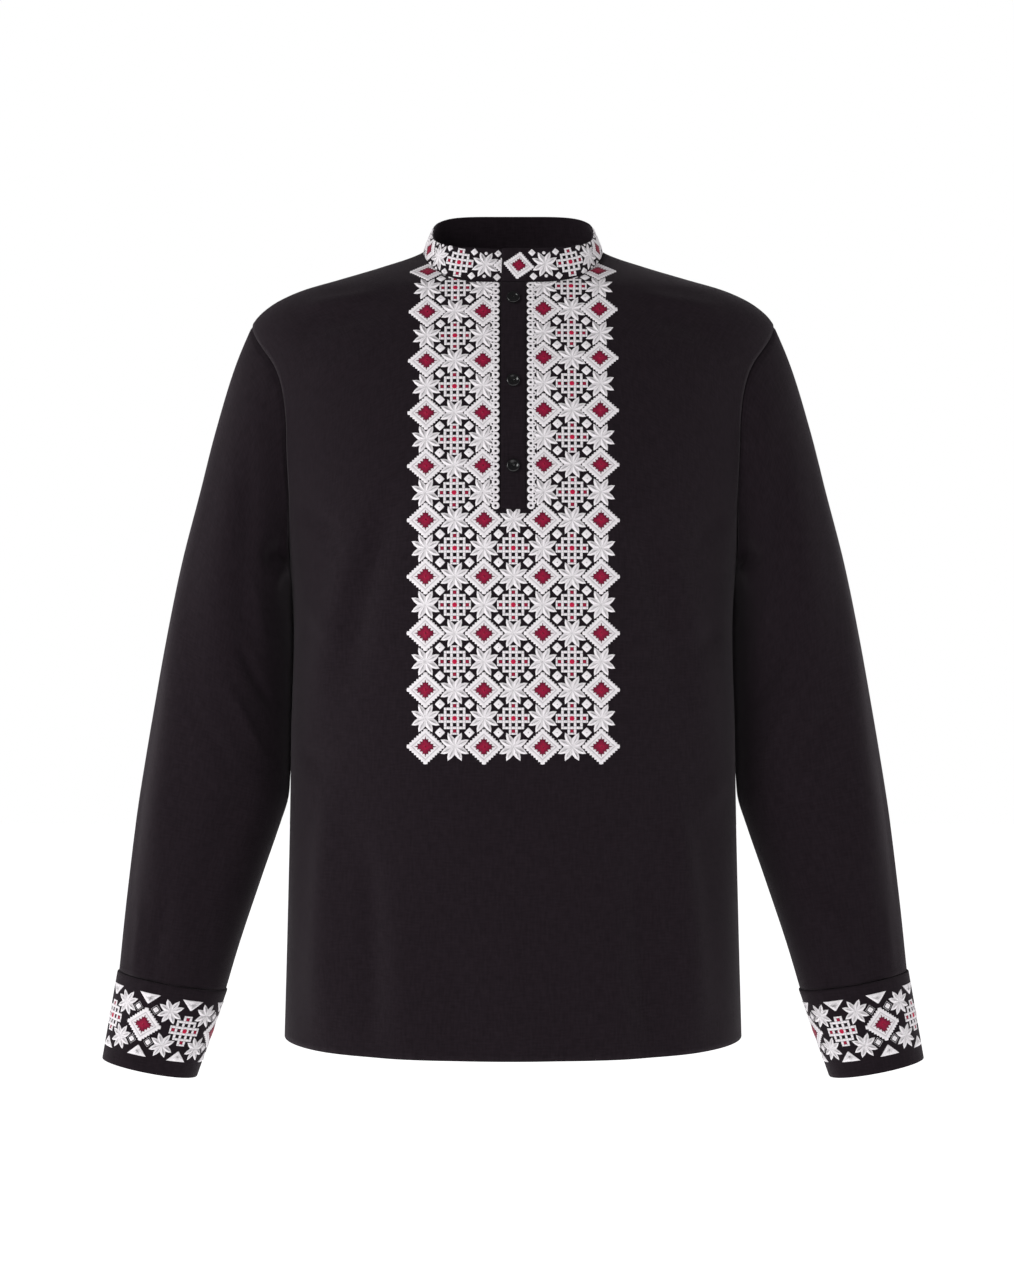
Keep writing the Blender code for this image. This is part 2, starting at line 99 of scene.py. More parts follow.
lamp("key", (-1.7, -2.0, 1.2), (0.0, 0.0, -0.35), 0.8, 26.0)
lamp("left_side", (-2.3, 0.3, 0.1), (0.0, 0.0, -0.4), 1.1, 24.0)
lamp("right_side", (2.3, 0.3, 0.1), (0.0, 0.0, -0.4), 1.1, 20.0)
lamp("front_fill", (0.6, -3.4, -0.3), (0.0, 0.0, -0.4), 1.6, 12.0)
lamp("back_fill", (0.3, 2.6, 0.6), (0.0, 0.0, -0.35), 1.6, 18.0)
lamp("gloss", (-1.5, -1.2, 0.35), (0.0, -0.13, -0.12), 0.45, 7.0)

# %% Floor
FLOOR_Z = -1.25
FLOOR_HALF = 12.0
FLOOR_LOOK = {
    "Base Color": (0.93, 0.93, 0.93, 1.0),
    "Roughness": 0.9,
    "Emission Color": (1.0, 1.0, 1.0, 1.0),
    "Emission Strength": 0.9,
}
CORNER_SIGNS = ((-1, -1), (1, -1), (1, 1), (-1, 1))
floor_mesh = bpy.data.meshes.new("floor")
floor_corners = [(x * FLOOR_HALF, y * FLOOR_HALF, FLOOR_Z) for x, y in CORNER_SIGNS]
floor_mesh.from_pydata(floor_corners, [], [(0, 1, 2, 3)])
floor = bpy.data.objects.new("floor", floor_mesh)
scene.collection.objects.link(floor)
pale = bpy.data.materials.new("pale floor")
pale.use_nodes = True
for socket, value in FLOOR_LOOK.items():
    pale.node_tree.nodes["Principled BSDF"].inputs[socket].default_value = value
floor_mesh.materials.append(pale)
print("floor at height, m:", FLOOR_Z)

# %% [markdown]
# ## Curves through measured sections
# A tailor's block is a list of widths at heights. We keep such lists as small tables and read
# a smooth curve through each column, so one function gives the cloth anywhere between them.

# %% Tables and curves


def table(names, rows):
    """Named columns of a table, read down its rows."""
    return dict(zip(names.split(), np.array(rows, dtype=float).T))


def read(tab, name, at):
    """A smooth curve through one column: a cubic between neighbouring rows, whose slopes are
    the mean slopes at those rows."""
    keys = next(iter(tab.values()))
    values = tab[name]
    slopes = np.gradient(values, keys)
    at = np.clip(at, keys[0], keys[-1])
    i = np.clip(np.searchsorted(keys, at) - 1, 0, len(keys) - 2)
    span = keys[i + 1] - keys[i]
    t = (at - keys[i]) / span
    start = (1 + 2 * t) * (1 - t) ** 2 * values[i] + t * (1 - t) ** 2 * span * slopes[i]
    end = t**2 * (3 - 2 * t) * values[i + 1] - t**2 * (1 - t) * span * slopes[i + 1]
    return start + end


def unit(vectors):
    """Each vector divided by its own length."""
    return vectors / np.maximum(np.linalg.norm(vectors, axis=-1, keepdims=True), 1e-9)


def run_length(points):
    """Distance along a row of points, from 0 at the first."""
    return np.concatenate([[0], np.cumsum(np.linalg.norm(np.diff(points, axis=0), axis=1))])


def smooth_step(t):
    """0 to 1 with no slope at either end: 3t^2 - 2t^3."""
    t = np.clip(t, 0.0, 1.0)
    return t * t * (3 - 2 * t)


# %% [markdown]
# ## The body's form
# Level sections of a filled-out shirt are rounded ovals. Each row gives, at a drop below the
# neck point in millimetres, the half width, how far the front and back stand out, and how
# square the oval is (2 is an ellipse). Everything on the body is placed by angle and drop.

# %% Body sections
TORSO = table(
    "drop half_width front back square",
    [
        (-8.0, 71.6, 4.0, 62.0, 2.00),
        (0.0, 80.0, 12.0, 66.0, 2.00),
        (14.0, 117.6, 37.0, 75.0, 2.00),
        (26.2, 158.0, 55.0, 81.0, 2.00),
        (35.0, 188.0, 64.5, 85.0, 2.00),
        (43.6, 208.0, 70.0, 89.0, 2.00),
        (54.0, 223.5, 75.5, 93.0, 2.00),
        (64.0, 232.5, 79.5, 96.0, 2.00),
        (80.0, 236.5, 87.0, 102.0, 2.05),
        (97.0, 236.0, 94.5, 107.0, 2.10),
        (125.0, 233.0, 104.0, 113.5, 2.15),
        (177.0, 222.0, 117.5, 122.0, 2.25),
        (240.0, 207.0, 131.0, 126.0, 2.30),
        (290.0, 199.0, 135.0, 126.0, 2.30),
        (440.0, 198.5, 135.0, 121.0, 2.35),
        (600.0, 201.5, 133.0, 123.0, 2.40),
        (710.0, 204.5, 131.0, 127.0, 2.40),
    ],
)
ARMHOLE = table(
    "drop inset",
    [
        (64.0, 0.0),
        (75.0, 5.0),
        (89.0, 14.0),
        (106.0, 24.5),
        (128.0, 29.5),
        (152.0, 28.0),
        (177.0, 23.0),
        (226.0, 13.0),
        (265.0, 4.6),
        (290.0, 0.0),
    ],
)
NECK_HALF = 80.0
NECK_FRONT_DROP = 34.5
NECK_BACK_RISE = 8.0
TIP_DROP = 64.0
UNDERARM_DROP = 290.0
HEM_DROP = 700.0
HEM_DIP = 8.0
SLOT_HALF = 10.8
SLOT_END_DROP = 236.0
SEAM_GAP = 0.3


def torso(angle, drop, side):
    """A point of the body: x = half width times cos^(2/n), y = depth times sin^(2/n), where n
    is the squareness. Angle 0 is the side seam, a quarter turn the centre line, and side is
    -1 for the front and 1 for the back."""
    power = 2.0 / read(TORSO, "square", drop)
    x = read(TORSO, "half_width", drop) * np.cos(angle) ** power
    y = side * read(TORSO, "front" if side < 0 else "back", drop) * np.sin(angle) ** power
    return np.stack([x, y, -drop + 0.0 * x], axis=-1)


def torso_angle(x, drop):
    """The angle at which the section at this drop has this half width."""
    ratio = np.clip(x / read(TORSO, "half_width", drop), 0.0, 1.0)
    return np.arccos(ratio ** (read(TORSO, "square", drop) / 2.0))


def torso_normal(points, side):
    """The outward direction: the slope of |x/a|^n + |y/b|^n in x, y and z."""
    x, y, drop = np.abs(points[..., 0]), np.abs(points[..., 1]), -points[..., 2]
    depth_name = "front" if side < 0 else "back"

    def oval(d):
        n = read(TORSO, "square", d)
        return (x / read(TORSO, "half_width", d)) ** n + (y / read(TORSO, depth_name, d)) ** n

    n = read(TORSO, "square", drop)
    a, b = read(TORSO, "half_width", drop), read(TORSO, depth_name, drop)
    slope = oval(drop - 0.5) - oval(drop + 0.5)
    out = np.stack([n * x ** (n - 1) / a**n, side * n * y ** (n - 1) / b**n, slope], axis=-1)
    out[..., 0] *= np.sign(points[..., 0])
    return unit(out)


def neck_drop(x, side):
    """The neckline's drop at a half width, lower in front, slightly raised behind."""
    part = np.clip(np.abs(x) / NECK_HALF, 0.0, 1.0)
    if side < 0:
        return NECK_FRONT_DROP * (1 - part**4) ** 0.65
    return -NECK_BACK_RISE * (1 - part**2)


# %% [markdown]
# ## Creases on the body
# Cloth that hangs from the shoulders falls into long, soft, uneven troughs and ridges. A
# simulation could make them, but here each one is listed, as a line with a length, a sideways
# bow, a half width and a height, so that they fall where this shirt has them. A trough has a
# negative height. The back gets creases of the same kind.

# %% Crease tables
FRONT_CREASES = table(
    "x0 drop0 x1 drop1 bow width height",
    [
        (-96, 206, -150, 410, -7, 13, -5.4),
        (-124, 224, -176, 440, -5, 13, 3.2),
        (102, 232, 146, 420, 6, 14, -4.0),
        (130, 246, 172, 470, 5, 15, 2.4),
        (-108, 40, -196, 54, 3, 6, 2.8),
        (-100, 62, -200, 84, -5, 8, -2.4),
        (-112, 92, -188, 118, 4, 10, 1.6),
        (104, 42, 192, 56, -3, 6, 2.4),
        (110, 66, 196, 92, 5, 9, -2.0),
        (116, 104, 184, 122, -4, 10, 1.3),
        (-194, 232, -150, 262, 4, 8, -2.6),
        (192, 242, 154, 266, -4, 8, -2.2),
        (-188, 318, -140, 362, 5, 10, 1.7),
        (188, 336, 146, 372, -4, 9, -1.7),
        (-192, 440, -158, 470, 3, 9, -1.5),
        (190, 470, 150, 506, -3, 11, 1.6),
        (-156, 450, -164, 730, -4, 14, 5.8),
        (-128, 500, -126, 730, 4, 12, -5.2),
        (-92, 560, -96, 730, -3, 15, 2.2),
        (-54, 590, -50, 730, 3, 13, -1.7),
        (136, 450, 158, 730, 4, 14, 5.6),
        (106, 500, 124, 730, -4, 12, -5.2),
        (84, 580, 90, 730, 3, 15, 2.0),
        (44, 610, 40, 730, -2, 12, -1.6),
        (2, 560, -4, 730, 4, 18, 1.8),
        (-86, 470, 70, 492, 7, 13, -1.2),
    ],
)
BACK_CREASES = table(
    "x0 drop0 x1 drop1 bow width height",
    [
        (-96, 180, -150, 400, -6, 22, -4.4),
        (104, 170, 152, 392, 6, 24, -4.8),
        (-60, 430, -76, 730, -6, 20, 4.4),
        (58, 470, 70, 730, 5, 22, 4.8),
        (-142, 500, -150, 730, -3, 16, -4.0),
        (140, 480, 152, 730, 3, 17, -3.6),
        (-6, 500, 4, 730, 5, 19, -3.4),
        (28, 560, 36, 730, -3, 13, 2.0),
        (-104, 540, -110, 730, 3, 12, 2.2),
        (-110, 44, -190, 62, 4, 8, 2.0),
        (108, 40, 188, 56, -4, 8, 2.2),
        (-88, 92, 96, 100, 7, 10, -1.6),
        (-190, 260, -140, 296, 5, 10, -2.2),
        (188, 250, 138, 300, -5, 10, -2.4),
        (-30, 330, 84, 356, 8, 16, -1.8),
    ],
)


def crease_height(across, down, creases):
    """The sum of all creases: each is its height times a bell across its bowed line, faded
    with a smooth step over the first and last third of its length."""
    height = np.zeros(np.broadcast(across, down).shape)
    for x0, down0, x1, down1, bow, width, tall in zip(*creases.values()):
        run = np.array([x1 - x0, down1 - down0])
        length = np.hypot(*run)
        along = ((across - x0) * run[0] + (down - down0) * run[1]) / length**2
        off = ((across - x0) * run[1] - (down - down0) * run[0]) / length
        off = off - 4 * bow * np.clip(along, 0, 1) * (1 - np.clip(along, 0, 1))
        fade = smooth_step(along / 0.34) * smooth_step((1 - along) / 0.34)
        spread = width * (0.75 + 0.5 * np.clip(along, 0, 1))
        height += tall * fade * np.exp(-((off / spread) ** 2))
    return height


CREASE_FADE = 22.0


def body_height(x, drop, side):
    """Crease height on the body, faded to nothing within 22 mm of the neckline, the shoulder
    seam, the armhole and side seam and the front opening."""
    height = crease_height(x, drop, FRONT_CREASES if side < 0 else BACK_CREASES)
    wide = np.abs(x)
    seam_drops = np.linspace(0.0, TIP_DROP, 60)
    shoulder = np.interp(wide, read(TORSO, "half_width", seam_drops), seam_drops)
    top = drop - np.where(wide < NECK_HALF, neck_drop(x, side), shoulder)
    inset = np.where((drop > TIP_DROP) & (drop < UNDERARM_DROP), read(ARMHOLE, "inset", drop), 0.0)
    edge = read(TORSO, "half_width", drop) - inset - wide
    fade = smooth_step(top / CREASE_FADE) * smooth_step(edge / CREASE_FADE)
    if side < 0:
        slot = np.where(drop < SLOT_END_DROP + 20, wide - SLOT_HALF, 60.0)
        fade = fade * smooth_step(slot / CREASE_FADE)
    return height * fade


print("creases:", len(FRONT_CREASES["x0"]), "in front,", len(BACK_CREASES["x0"]), "behind")

# %% [markdown]
# ## Putting a surface into a mesh
# Every piece below is worked out as arrays of points. One helper puts such arrays into a mesh:
# groups of faces with the same number of corners, a UV for each corner, and one number a point
# called shade, which the thread finishes read. Another turns a grid of points into faces.

# %% Mesh helpers
PIECES = {}


def make_piece(name, points, groups, uvs, finish, shade=None):
    """A mesh from points in millimetres. groups are arrays of faces, one row of corner
    numbers a face, and uvs are arrays of the same shape with two more numbers a corner."""
    mesh = bpy.data.meshes.new(name)
    corners = np.concatenate([g.ravel() for g in groups]).astype(np.int32)
    sizes = np.concatenate([np.full(len(g), g.shape[1]) for g in groups])
    starts = (np.cumsum(sizes) - sizes).astype(np.int32)
    mesh.vertices.add(len(points))
    mesh.vertices.foreach_set("co", (points * MM).astype(np.float32).ravel())
    mesh.loops.add(len(corners))
    mesh.loops.foreach_set("vertex_index", corners)
    mesh.polygons.add(len(sizes))
    mesh.polygons.foreach_set("loop_start", starts)
    mesh.polygons.foreach_set("use_smooth", np.ones(len(sizes), dtype=bool))
    layer = mesh.uv_layers.new(name="thread")
    flat = np.concatenate([u.reshape(-1, 2) for u in uvs])
    layer.uv.foreach_set("vector", (flat * MM).astype(np.float32).ravel())
    if shade is not None:
        shades = mesh.attributes.new("shade", "FLOAT", "POINT")
        shades.data.foreach_set("value", shade.astype(np.float32))
    mesh.update(calc_edges=True)
    mesh.materials.append(finish)
    piece = bpy.data.objects.new(name, mesh)
    scene.collection.objects.link(piece)
    PIECES[name] = piece
    return piece


def grid_cells(rows, columns, closed):
    """Corner numbers of a grid's cells, and the row and column of each corner. On a closed
    grid the last column joins the first."""
    wide = columns if closed else columns - 1
    r, c = np.meshgrid(np.arange(rows - 1), np.arange(wide), indexing="ij")
    row = np.stack([r, r + 1, r + 1, r], axis=-1).reshape(-1, 4)
    column = np.stack([c, c, c + 1, c + 1], axis=-1).reshape(-1, 4)
    return row * columns + column % columns, row, column


def grid_normals(skin, closed):
    """Outward directions of a skin whose columns run round it and whose rows run down it: the
    cross product of the steps round and down."""
    down = np.gradient(skin, axis=0)
    if closed:
        round_it = np.roll(skin, -1, axis=1) - np.roll(skin, 1, axis=1)
    else:
        round_it = np.gradient(skin, axis=1)
    return unit(np.cross(round_it, down))


def cloth_piece(name, skin, out, thick, finish, closed=False, used=None):
    """A sheet of cloth on a grid of points, with its thickness put inwards by Solidify. The
    UV is the distance along the grid's middle row and middle column."""
    rows, columns = skin.shape[:2]
    cells, row, column = grid_cells(rows, columns, closed)
    middle = skin[rows // 2]
    if closed:
        middle = np.vstack([middle, middle[:1]])
    across, down = run_length(middle), run_length(skin[:, columns // 4])
    uv = np.stack([across[column], down[row]], axis=-1)
    flat = skin.reshape(-1, 3)
    a, b, c = flat[cells[:, 0]], flat[cells[:, 1]], flat[cells[:, 3]]
    facing = np.sum(np.cross(b - a, c - a) * out.reshape(-1, 3)[cells[:, 0]])
    if facing < 0:
        cells, uv = cells[:, ::-1], uv[:, ::-1]
    if used is not None:
        cells, uv = cells[used.ravel()], uv[used.ravel()]
    kept, cells = np.unique(cells, return_inverse=True)
    cells = cells.reshape(-1, 4)
    piece = make_piece(name, flat[kept], [cells], [uv], finish)
    wall = piece.modifiers.new("Thickness", "SOLIDIFY")
    wall.thickness = thick * MM
    wall.offset = -1.0
    corners = flat[kept][cells]
    crosses = np.cross(corners[:, 2] - corners[:, 0], corners[:, 3] - corners[:, 1])
    area = np.linalg.norm(crosses, axis=1).sum() / 2 * MM * MM
    print(f"{name}: {len(cells)} cells, {area:.4f} m2 of cloth")
    return piece


# %% [markdown]
# ## Black cloth
# The shirt is a plain-woven cotton and linen mix, matt, with a faint light bloom where the
# cloth turns away. The weave is two sets of thin bands at right angles, in the piece's own
# UV, and slubs are noise stretched along each set of threads. The bloom is the shader's own
# sheen, which is what tiny fibres standing off a cloth do.

# %% Node helper and the cloth finish
THREAD_PITCH = 0.00062
BANDS_A_METRE = 0.314159


def node(tree, kind, links=None, **values):
    """A new node with its values set and some inputs linked from other nodes' sockets."""
    made = tree.nodes.new(kind)
    for name, value in values.items():
        setattr(made, name, value)
    for socket, source in (links or {}).items():
        if isinstance(source, bpy.types.NodeSocket):
            tree.links.new(source, made.inputs[socket])
        else:
            made.inputs[socket].default_value = source
    return made


def new_finish(name, roughness, specular, sheen=0.0, sheen_roughness=0.5):
    """A material with its Principled shader's uniform values set on its own sockets."""
    material = bpy.data.materials.new(name)
    material.use_nodes = True
    shader = material.node_tree.nodes["Principled BSDF"]
    shader.inputs["Roughness"].default_value = roughness
    shader.inputs["Specular IOR Level"].default_value = specular
    shader.inputs["Sheen Weight"].default_value = sheen
    shader.inputs["Sheen Roughness"].default_value = sheen_roughness
    return material, material.node_tree, shader


def bands(tree, uv, direction, pitch, distortion=0.0):
    """Soft bands with this pitch in metres: a sine of the distance across them. The wave
    texture makes one band a metre at a scale of a tenth of pi."""
    settings = {"Vector": uv, "Scale": BANDS_A_METRE / pitch, "Distortion": distortion}
    wave = node(tree, "ShaderNodeTexWave", settings, bands_direction=direction)
    return wave.outputs["Fac"]


def slubs(tree, uv, stretch, scale):
    """Noise drawn out along one set of threads."""
    drawn = node(tree, "ShaderNodeMapping", {"Vector": uv, "Scale": stretch})
    settings = {"Vector": drawn.outputs["Vector"], "Scale": scale, "Detail": 3.0}
    return node(tree, "ShaderNodeTexNoise", settings).outputs["Fac"]


def blend(tree, share, dark, light):
    """A colour between a dark and a light one, given as red, green and blue."""
    settings = {"Factor": share, 6: (*dark, 1.0), 7: (*light, 1.0)}
    return node(tree, "ShaderNodeMix", settings, data_type="RGBA").outputs[2]


def sum_of(tree, first, second, **values):
    """The sum of two numbers."""
    return node(tree, "ShaderNodeMath", {0: first, 1: second}, operation="ADD", **values).outputs[0]


def raise_by(tree, shader, height, strength, distance):
    """Bump from a height, linked to the shader."""
    settings = {"Height": height, "Strength": strength, "Distance": distance}
    bump = node(tree, "ShaderNodeBump", settings)
    tree.links.new(bump.outputs["Normal"], shader.inputs["Normal"])


def woven_cloth(name, dark, light, bump):
    """Plain weave: the larger of two crossed sets of bands, with slubs in colour and height."""
    material, tree, shader = new_finish(
        name, roughness=0.86, specular=0.05, sheen=0.078, sheen_roughness=0.42
    )
    shader.inputs["Sheen Tint"].default_value = (1.0, 0.90, 0.97, 1.0)
    uv = node(tree, "ShaderNodeUVMap", uv_map="thread").outputs["UV"]
    warp = bands(tree, uv, "X", THREAD_PITCH)
    weft = bands(tree, uv, "Y", THREAD_PITCH)
    weave = node(tree, "ShaderNodeMath", {0: warp, 1: weft}, operation="MAXIMUM").outputs[0]
    long_slubs = slubs(tree, uv, (6.0, 1.0, 1.0), 90.0)
    cross_slubs = slubs(tree, uv, (1.0, 6.0, 1.0), 110.0)
    mixed = sum_of(tree, long_slubs, cross_slubs)
    spread = node(tree, "ShaderNodeMapRange", {"Value": mixed, "From Min": 0.75, "From Max": 1.25})
    tone = blend(tree, spread.outputs[0], dark, light)
    tree.links.new(tone, shader.inputs["Base Color"])
    raise_by(tree, shader, sum_of(tree, weave, mixed), bump, 0.0002)
    return material


CLOTH_DARK = (0.0086, 0.0058, 0.0078)
CLOTH_LIGHT = (0.0130, 0.0090, 0.0119)
black_cloth = woven_cloth("black cotton linen", CLOTH_DARK, CLOTH_LIGHT, bump=0.5)
print("cloth finish:", black_cloth.name)

# %% [markdown]
# ## Front and back
# Each half of a panel is a grid. Its columns run from the armhole and side seam to the middle,
# and its rows from the shoulder seam to the hem. The rows' ends slide down the armhole on one
# side and the neckline and opening on the other, as a tailor's grading lines do. The creases
# move the grid along the body's own outward direction.

# %% Panel grid
ARM_ROWS = 56
NECK_ROWS = 28
SLOT_ROWS = 20
LOW_ROWS = 84
HALF_COLUMNS = 45
MIDDLE_COLUMNS = 4


def armhole():
    """Drops and body angles of the armhole, from the shoulder tip to the underarm."""
    middle, reach = (UNDERARM_DROP + TIP_DROP) / 2, (UNDERARM_DROP - TIP_DROP) / 2
    drop = middle - reach * np.cos(np.linspace(0.0, math.pi, ARM_ROWS + 1))
    inset = np.maximum(read(ARMHOLE, "inset", drop), 0.0)
    inset[[0, -1]] = 0.0
    return drop, torso_angle(read(TORSO, "half_width", drop) - inset, drop)


def neckline(side):
    """Half widths and drops of the neckline, from the shoulder seam to the opening."""
    end = math.asin(SLOT_HALF / NECK_HALF)
    x = NECK_HALF * np.sin(np.linspace(math.pi / 2, end, NECK_ROWS + 1))
    return x, neck_drop(x, side)


def half_panel(side):
    """The wearer's left half: angle and drop are straight blends between the armhole or side
    seam and the neckline or opening, bent along the shoulder seam."""
    arm_drop, arm_angle = armhole()
    neck_x, neck_d = neckline(side)
    below = ARM_ROWS - NECK_ROWS
    if side < 0:
        slot = np.linspace(neck_d[-1], SLOT_END_DROP, SLOT_ROWS + 1)[1:]
        tail = np.linspace(SLOT_END_DROP, UNDERARM_DROP, below - SLOT_ROWS + 1)[1:]
        middle_drop = np.concatenate([neck_d, slot, tail])
    else:
        tail = np.linspace(neck_d[-1], UNDERARM_DROP, below + 1)[1:]
        middle_drop = np.concatenate([neck_d, tail])
    middle_angle = torso_angle(np.concatenate([neck_x, np.full(below, SLOT_HALF)]), middle_drop)
    across = np.linspace(0.0, 1.0, HALF_COLUMNS + 1)
    down = np.linspace(0.0, 1.0, ARM_ROWS + 1)[:, None]
    drops = np.linspace(0.0, TIP_DROP, 200)
    widths = read(TORSO, "half_width", drops)
    seam = np.interp(np.linspace(widths[-1], NECK_HALF, HALF_COLUMNS + 1), widths, drops)
    bow = seam - (1 - across) * TIP_DROP
    angle = (1 - across) * arm_angle[:, None] + across * middle_angle[:, None]
    drop = (1 - across) * arm_drop[:, None] + across * middle_drop[:, None] + (1 - down) * bow
    low = np.linspace(0.0, 1.0, LOW_ROWS + 1)[1:, None]
    hem = HEM_DROP + HEM_DIP * np.sin(angle[-1:])
    low_drop = UNDERARM_DROP + (hem - UNDERARM_DROP) * low
    low_angle = across * torso_angle(SLOT_HALF, low_drop[:, -1:])
    return torso(np.vstack([angle, low_angle]), np.vstack([drop, low_drop]), side)


def mirrored(points):
    """The same points on the wearer's right."""
    return points * np.array([-1.0, 1.0, 1.0])


def creased(points, side):
    """Body points moved out along the body's outward direction by the crease height."""
    height = body_height(points[..., 0], -points[..., 2], side)
    return points + torso_normal(points, side) * height[..., None]


def panel(side):
    """A whole panel: right half, a few columns across the middle, left half."""
    left = half_panel(side)
    drop = -left[:, -1:, 2]
    x = np.linspace(-SLOT_HALF, SLOT_HALF, MIDDLE_COLUMNS + 2)[None, 1:-1] + 0.0 * drop
    drop = drop + 0.0 * x
    middle = torso(torso_angle(np.abs(x), drop), drop, side)
    middle[..., 0] = x
    skin = np.concatenate([mirrored(left), middle, left[:, ::-1]], axis=1)
    skin = creased(skin, side)
    skin[0, :, 1] += side * SEAM_GAP / 2
    skin[ARM_ROWS:, [0, -1], 1] += side * SEAM_GAP / 2
    used = np.ones((skin.shape[0] - 1, skin.shape[1] - 1), dtype=bool)
    first = NECK_ROWS + SLOT_ROWS if side < 0 else NECK_ROWS
    used[:first, HALF_COLUMNS : HALF_COLUMNS + MIDDLE_COLUMNS + 1] = False
    return skin, used


CLOTH_THICK = 1.2
for panel_name, side in (("front", -1), ("back", 1)):
    skin, used = panel(side)
    towards = np.zeros_like(skin)
    towards[..., 1] = side
    cloth_piece(panel_name + "_cloth", skin, towards, CLOTH_THICK, black_cloth, used=used)

# %% [markdown]
# ## Sleeves
# A set-in sleeve is a tube that starts with the armhole's own shape and slowly turns into
# rounded ovals. Each ring is given by where it starts on the sleeve's outer and inner outline.
# The creases are listed again, in degrees round the arm and rings down it: drag lines by the
# underarm, soft breaks at the elbow and small tucks into the cuff. A full ridge on the inner
# side brings the sleeve up to the body, and its first edge is tucked under the panels.

# %% Sleeve tables
SLEEVE_OUTER = table(
    "drop x",
    [
        (64.0, 232.5),
        (92.0, 244.4),
        (162.0, 266.4),
        (213.0, 279.4),
        (278.0, 296.4),
        (348.0, 310.9),
        (406.0, 321.2),
        (498.0, 336.0),
        (570.0, 344.0),
        (641.0, 350.6),
    ],
)
SLEEVE_INNER = table(
    "drop x",
    [
        (290.0, 199.0),
        (300.0, 200.8),
        (340.0, 201.2),
        (440.0, 200.8),
        (470.0, 200.8),
        (490.0, 202.2),
        (512.0, 208.8),
        (560.0, 225.0),
        (626.0, 246.5),
        (659.0, 256.0),
    ],
)
SLEEVE_RINGS = table(
    "ring outer_drop inner_drop depth mid_y",
    [
        (0, 64.0, 290.0, 60.0, 0.0),
        (1, 76.0, 293.0, 61.0, 0.0),
        (2, 98.0, 299.0, 63.0, 0.0),
        (3, 130.0, 308.0, 66.0, 1.0),
        (4, 170.0, 320.0, 69.0, 2.0),
        (5, 215.0, 337.0, 71.0, 3.0),
        (6, 262.0, 360.0, 71.0, 4.0),
        (7, 312.0, 389.0, 69.0, 5.0),
        (8, 362.0, 422.0, 66.5, 5.0),
        (9, 412.0, 456.0, 64.0, 4.0),
        (10, 462.0, 493.0, 61.0, 2.0),
        (11, 512.0, 537.0, 58.0, -2.0),
        (12, 560.0, 581.0, 54.0, -7.0),
        (13, 603.0, 622.0, 49.0, -12.0),
        (14, 641.0, 659.0, 43.5, -16.0),
    ],
)
CAP_RINGS = 7
SLEEVE_SQUARE = 2.15
RINGS_EACH = 8
SLEEVE_CREASES = table(
    "angle0 ring0 angle1 ring1 bow width height other",
    [
        (70, 2, 115, 8, 4, 18, -4.8, 0.9),
        (40, 6, 62, 13, -3, 16, 4.2, 1.1),
        (120, 9, 88, 13, 4, 14, -4.4, 0.8),
        (140, 1, 112, 4.4, 5, 8, -4.0, 1.3),
        (154, 1.2, 130, 4.8, -4, 8, 3.0, 1.2),
        (96, 4.5, 138, 6.8, 5, 9, 2.0, 0.5),
        (104, 6.6, 150, 8.0, -5, 9, -2.6, 1.1),
        (88, 7.6, 134, 9.2, 4, 8, 2.2, 1.2),
        (62, 8.4, 112, 9.8, 4, 9, -1.9, 0.6),
        (26, 3, 34, 9, 3, 12, 1.8, 1.2),
        (20, 9, 30, 13.4, -3, 11, -1.8, 0.8),
        (74, 11.4, 70, 14.3, 2, 7, -1.8, 1.2),
        (98, 11.8, 96, 14.3, -2, 7, 1.5, 0.8),
        (118, 12.2, 120, 14.3, 2, 6, -1.5, 1.0),
        (46, 12.0, 48, 14.3, 2, 7, 1.2, 1.2),
        (255, 3, 285, 9, 5, 22, -3.2, 1.1),
        (300, 8, 275, 13, -4, 18, 3.0, 0.8),
        (226, 6.4, 268, 8.2, 5, 9, -2.4, 0.7),
        (232, 7.8, 282, 9.4, -4, 9, 2.0, 1.2),
        (250, 11.6, 254, 14.3, 2, 8, -1.7, 1.0),
        (290, 11.9, 286, 14.3, -2, 7, 1.4, 0.9),
        (320, 12.1, 318, 14.3, 2, 7, -1.2, 1.1),
        (180, -2.5, 180, 11.0, 0, 34, 2.9, 1.0),
        (180, 0.0, 180, 8.6, 0, 30, 1.5, 1.0),
    ],
)


RING_COLUMNS = 2 * ARM_ROWS
LAST_RING = 14
TURN = 2 * math.pi * np.arange(RING_COLUMNS) / RING_COLUMNS
RING = np.linspace(0.0, LAST_RING, LAST_RING * RINGS_EACH + 1)[:, None]


def ring_points(outer, inner, depth, mid_y, turn=TURN):
    """A rounded oval through an outer and an inner point (x, drop): y = middle - depth times
    sin^(2/n). The turn starts outside and passes the front."""
    along = (1 + np.cos(turn)) / 2
    x = inner[0] + along * (outer[0] - inner[0])
    drop = inner[1] + along * (outer[1] - inner[1])
    y = mid_y - depth * np.sign(np.sin(turn)) * np.abs(np.sin(turn)) ** (2.0 / SLEEVE_SQUARE)
    return np.stack([x, y, -drop], axis=-1)


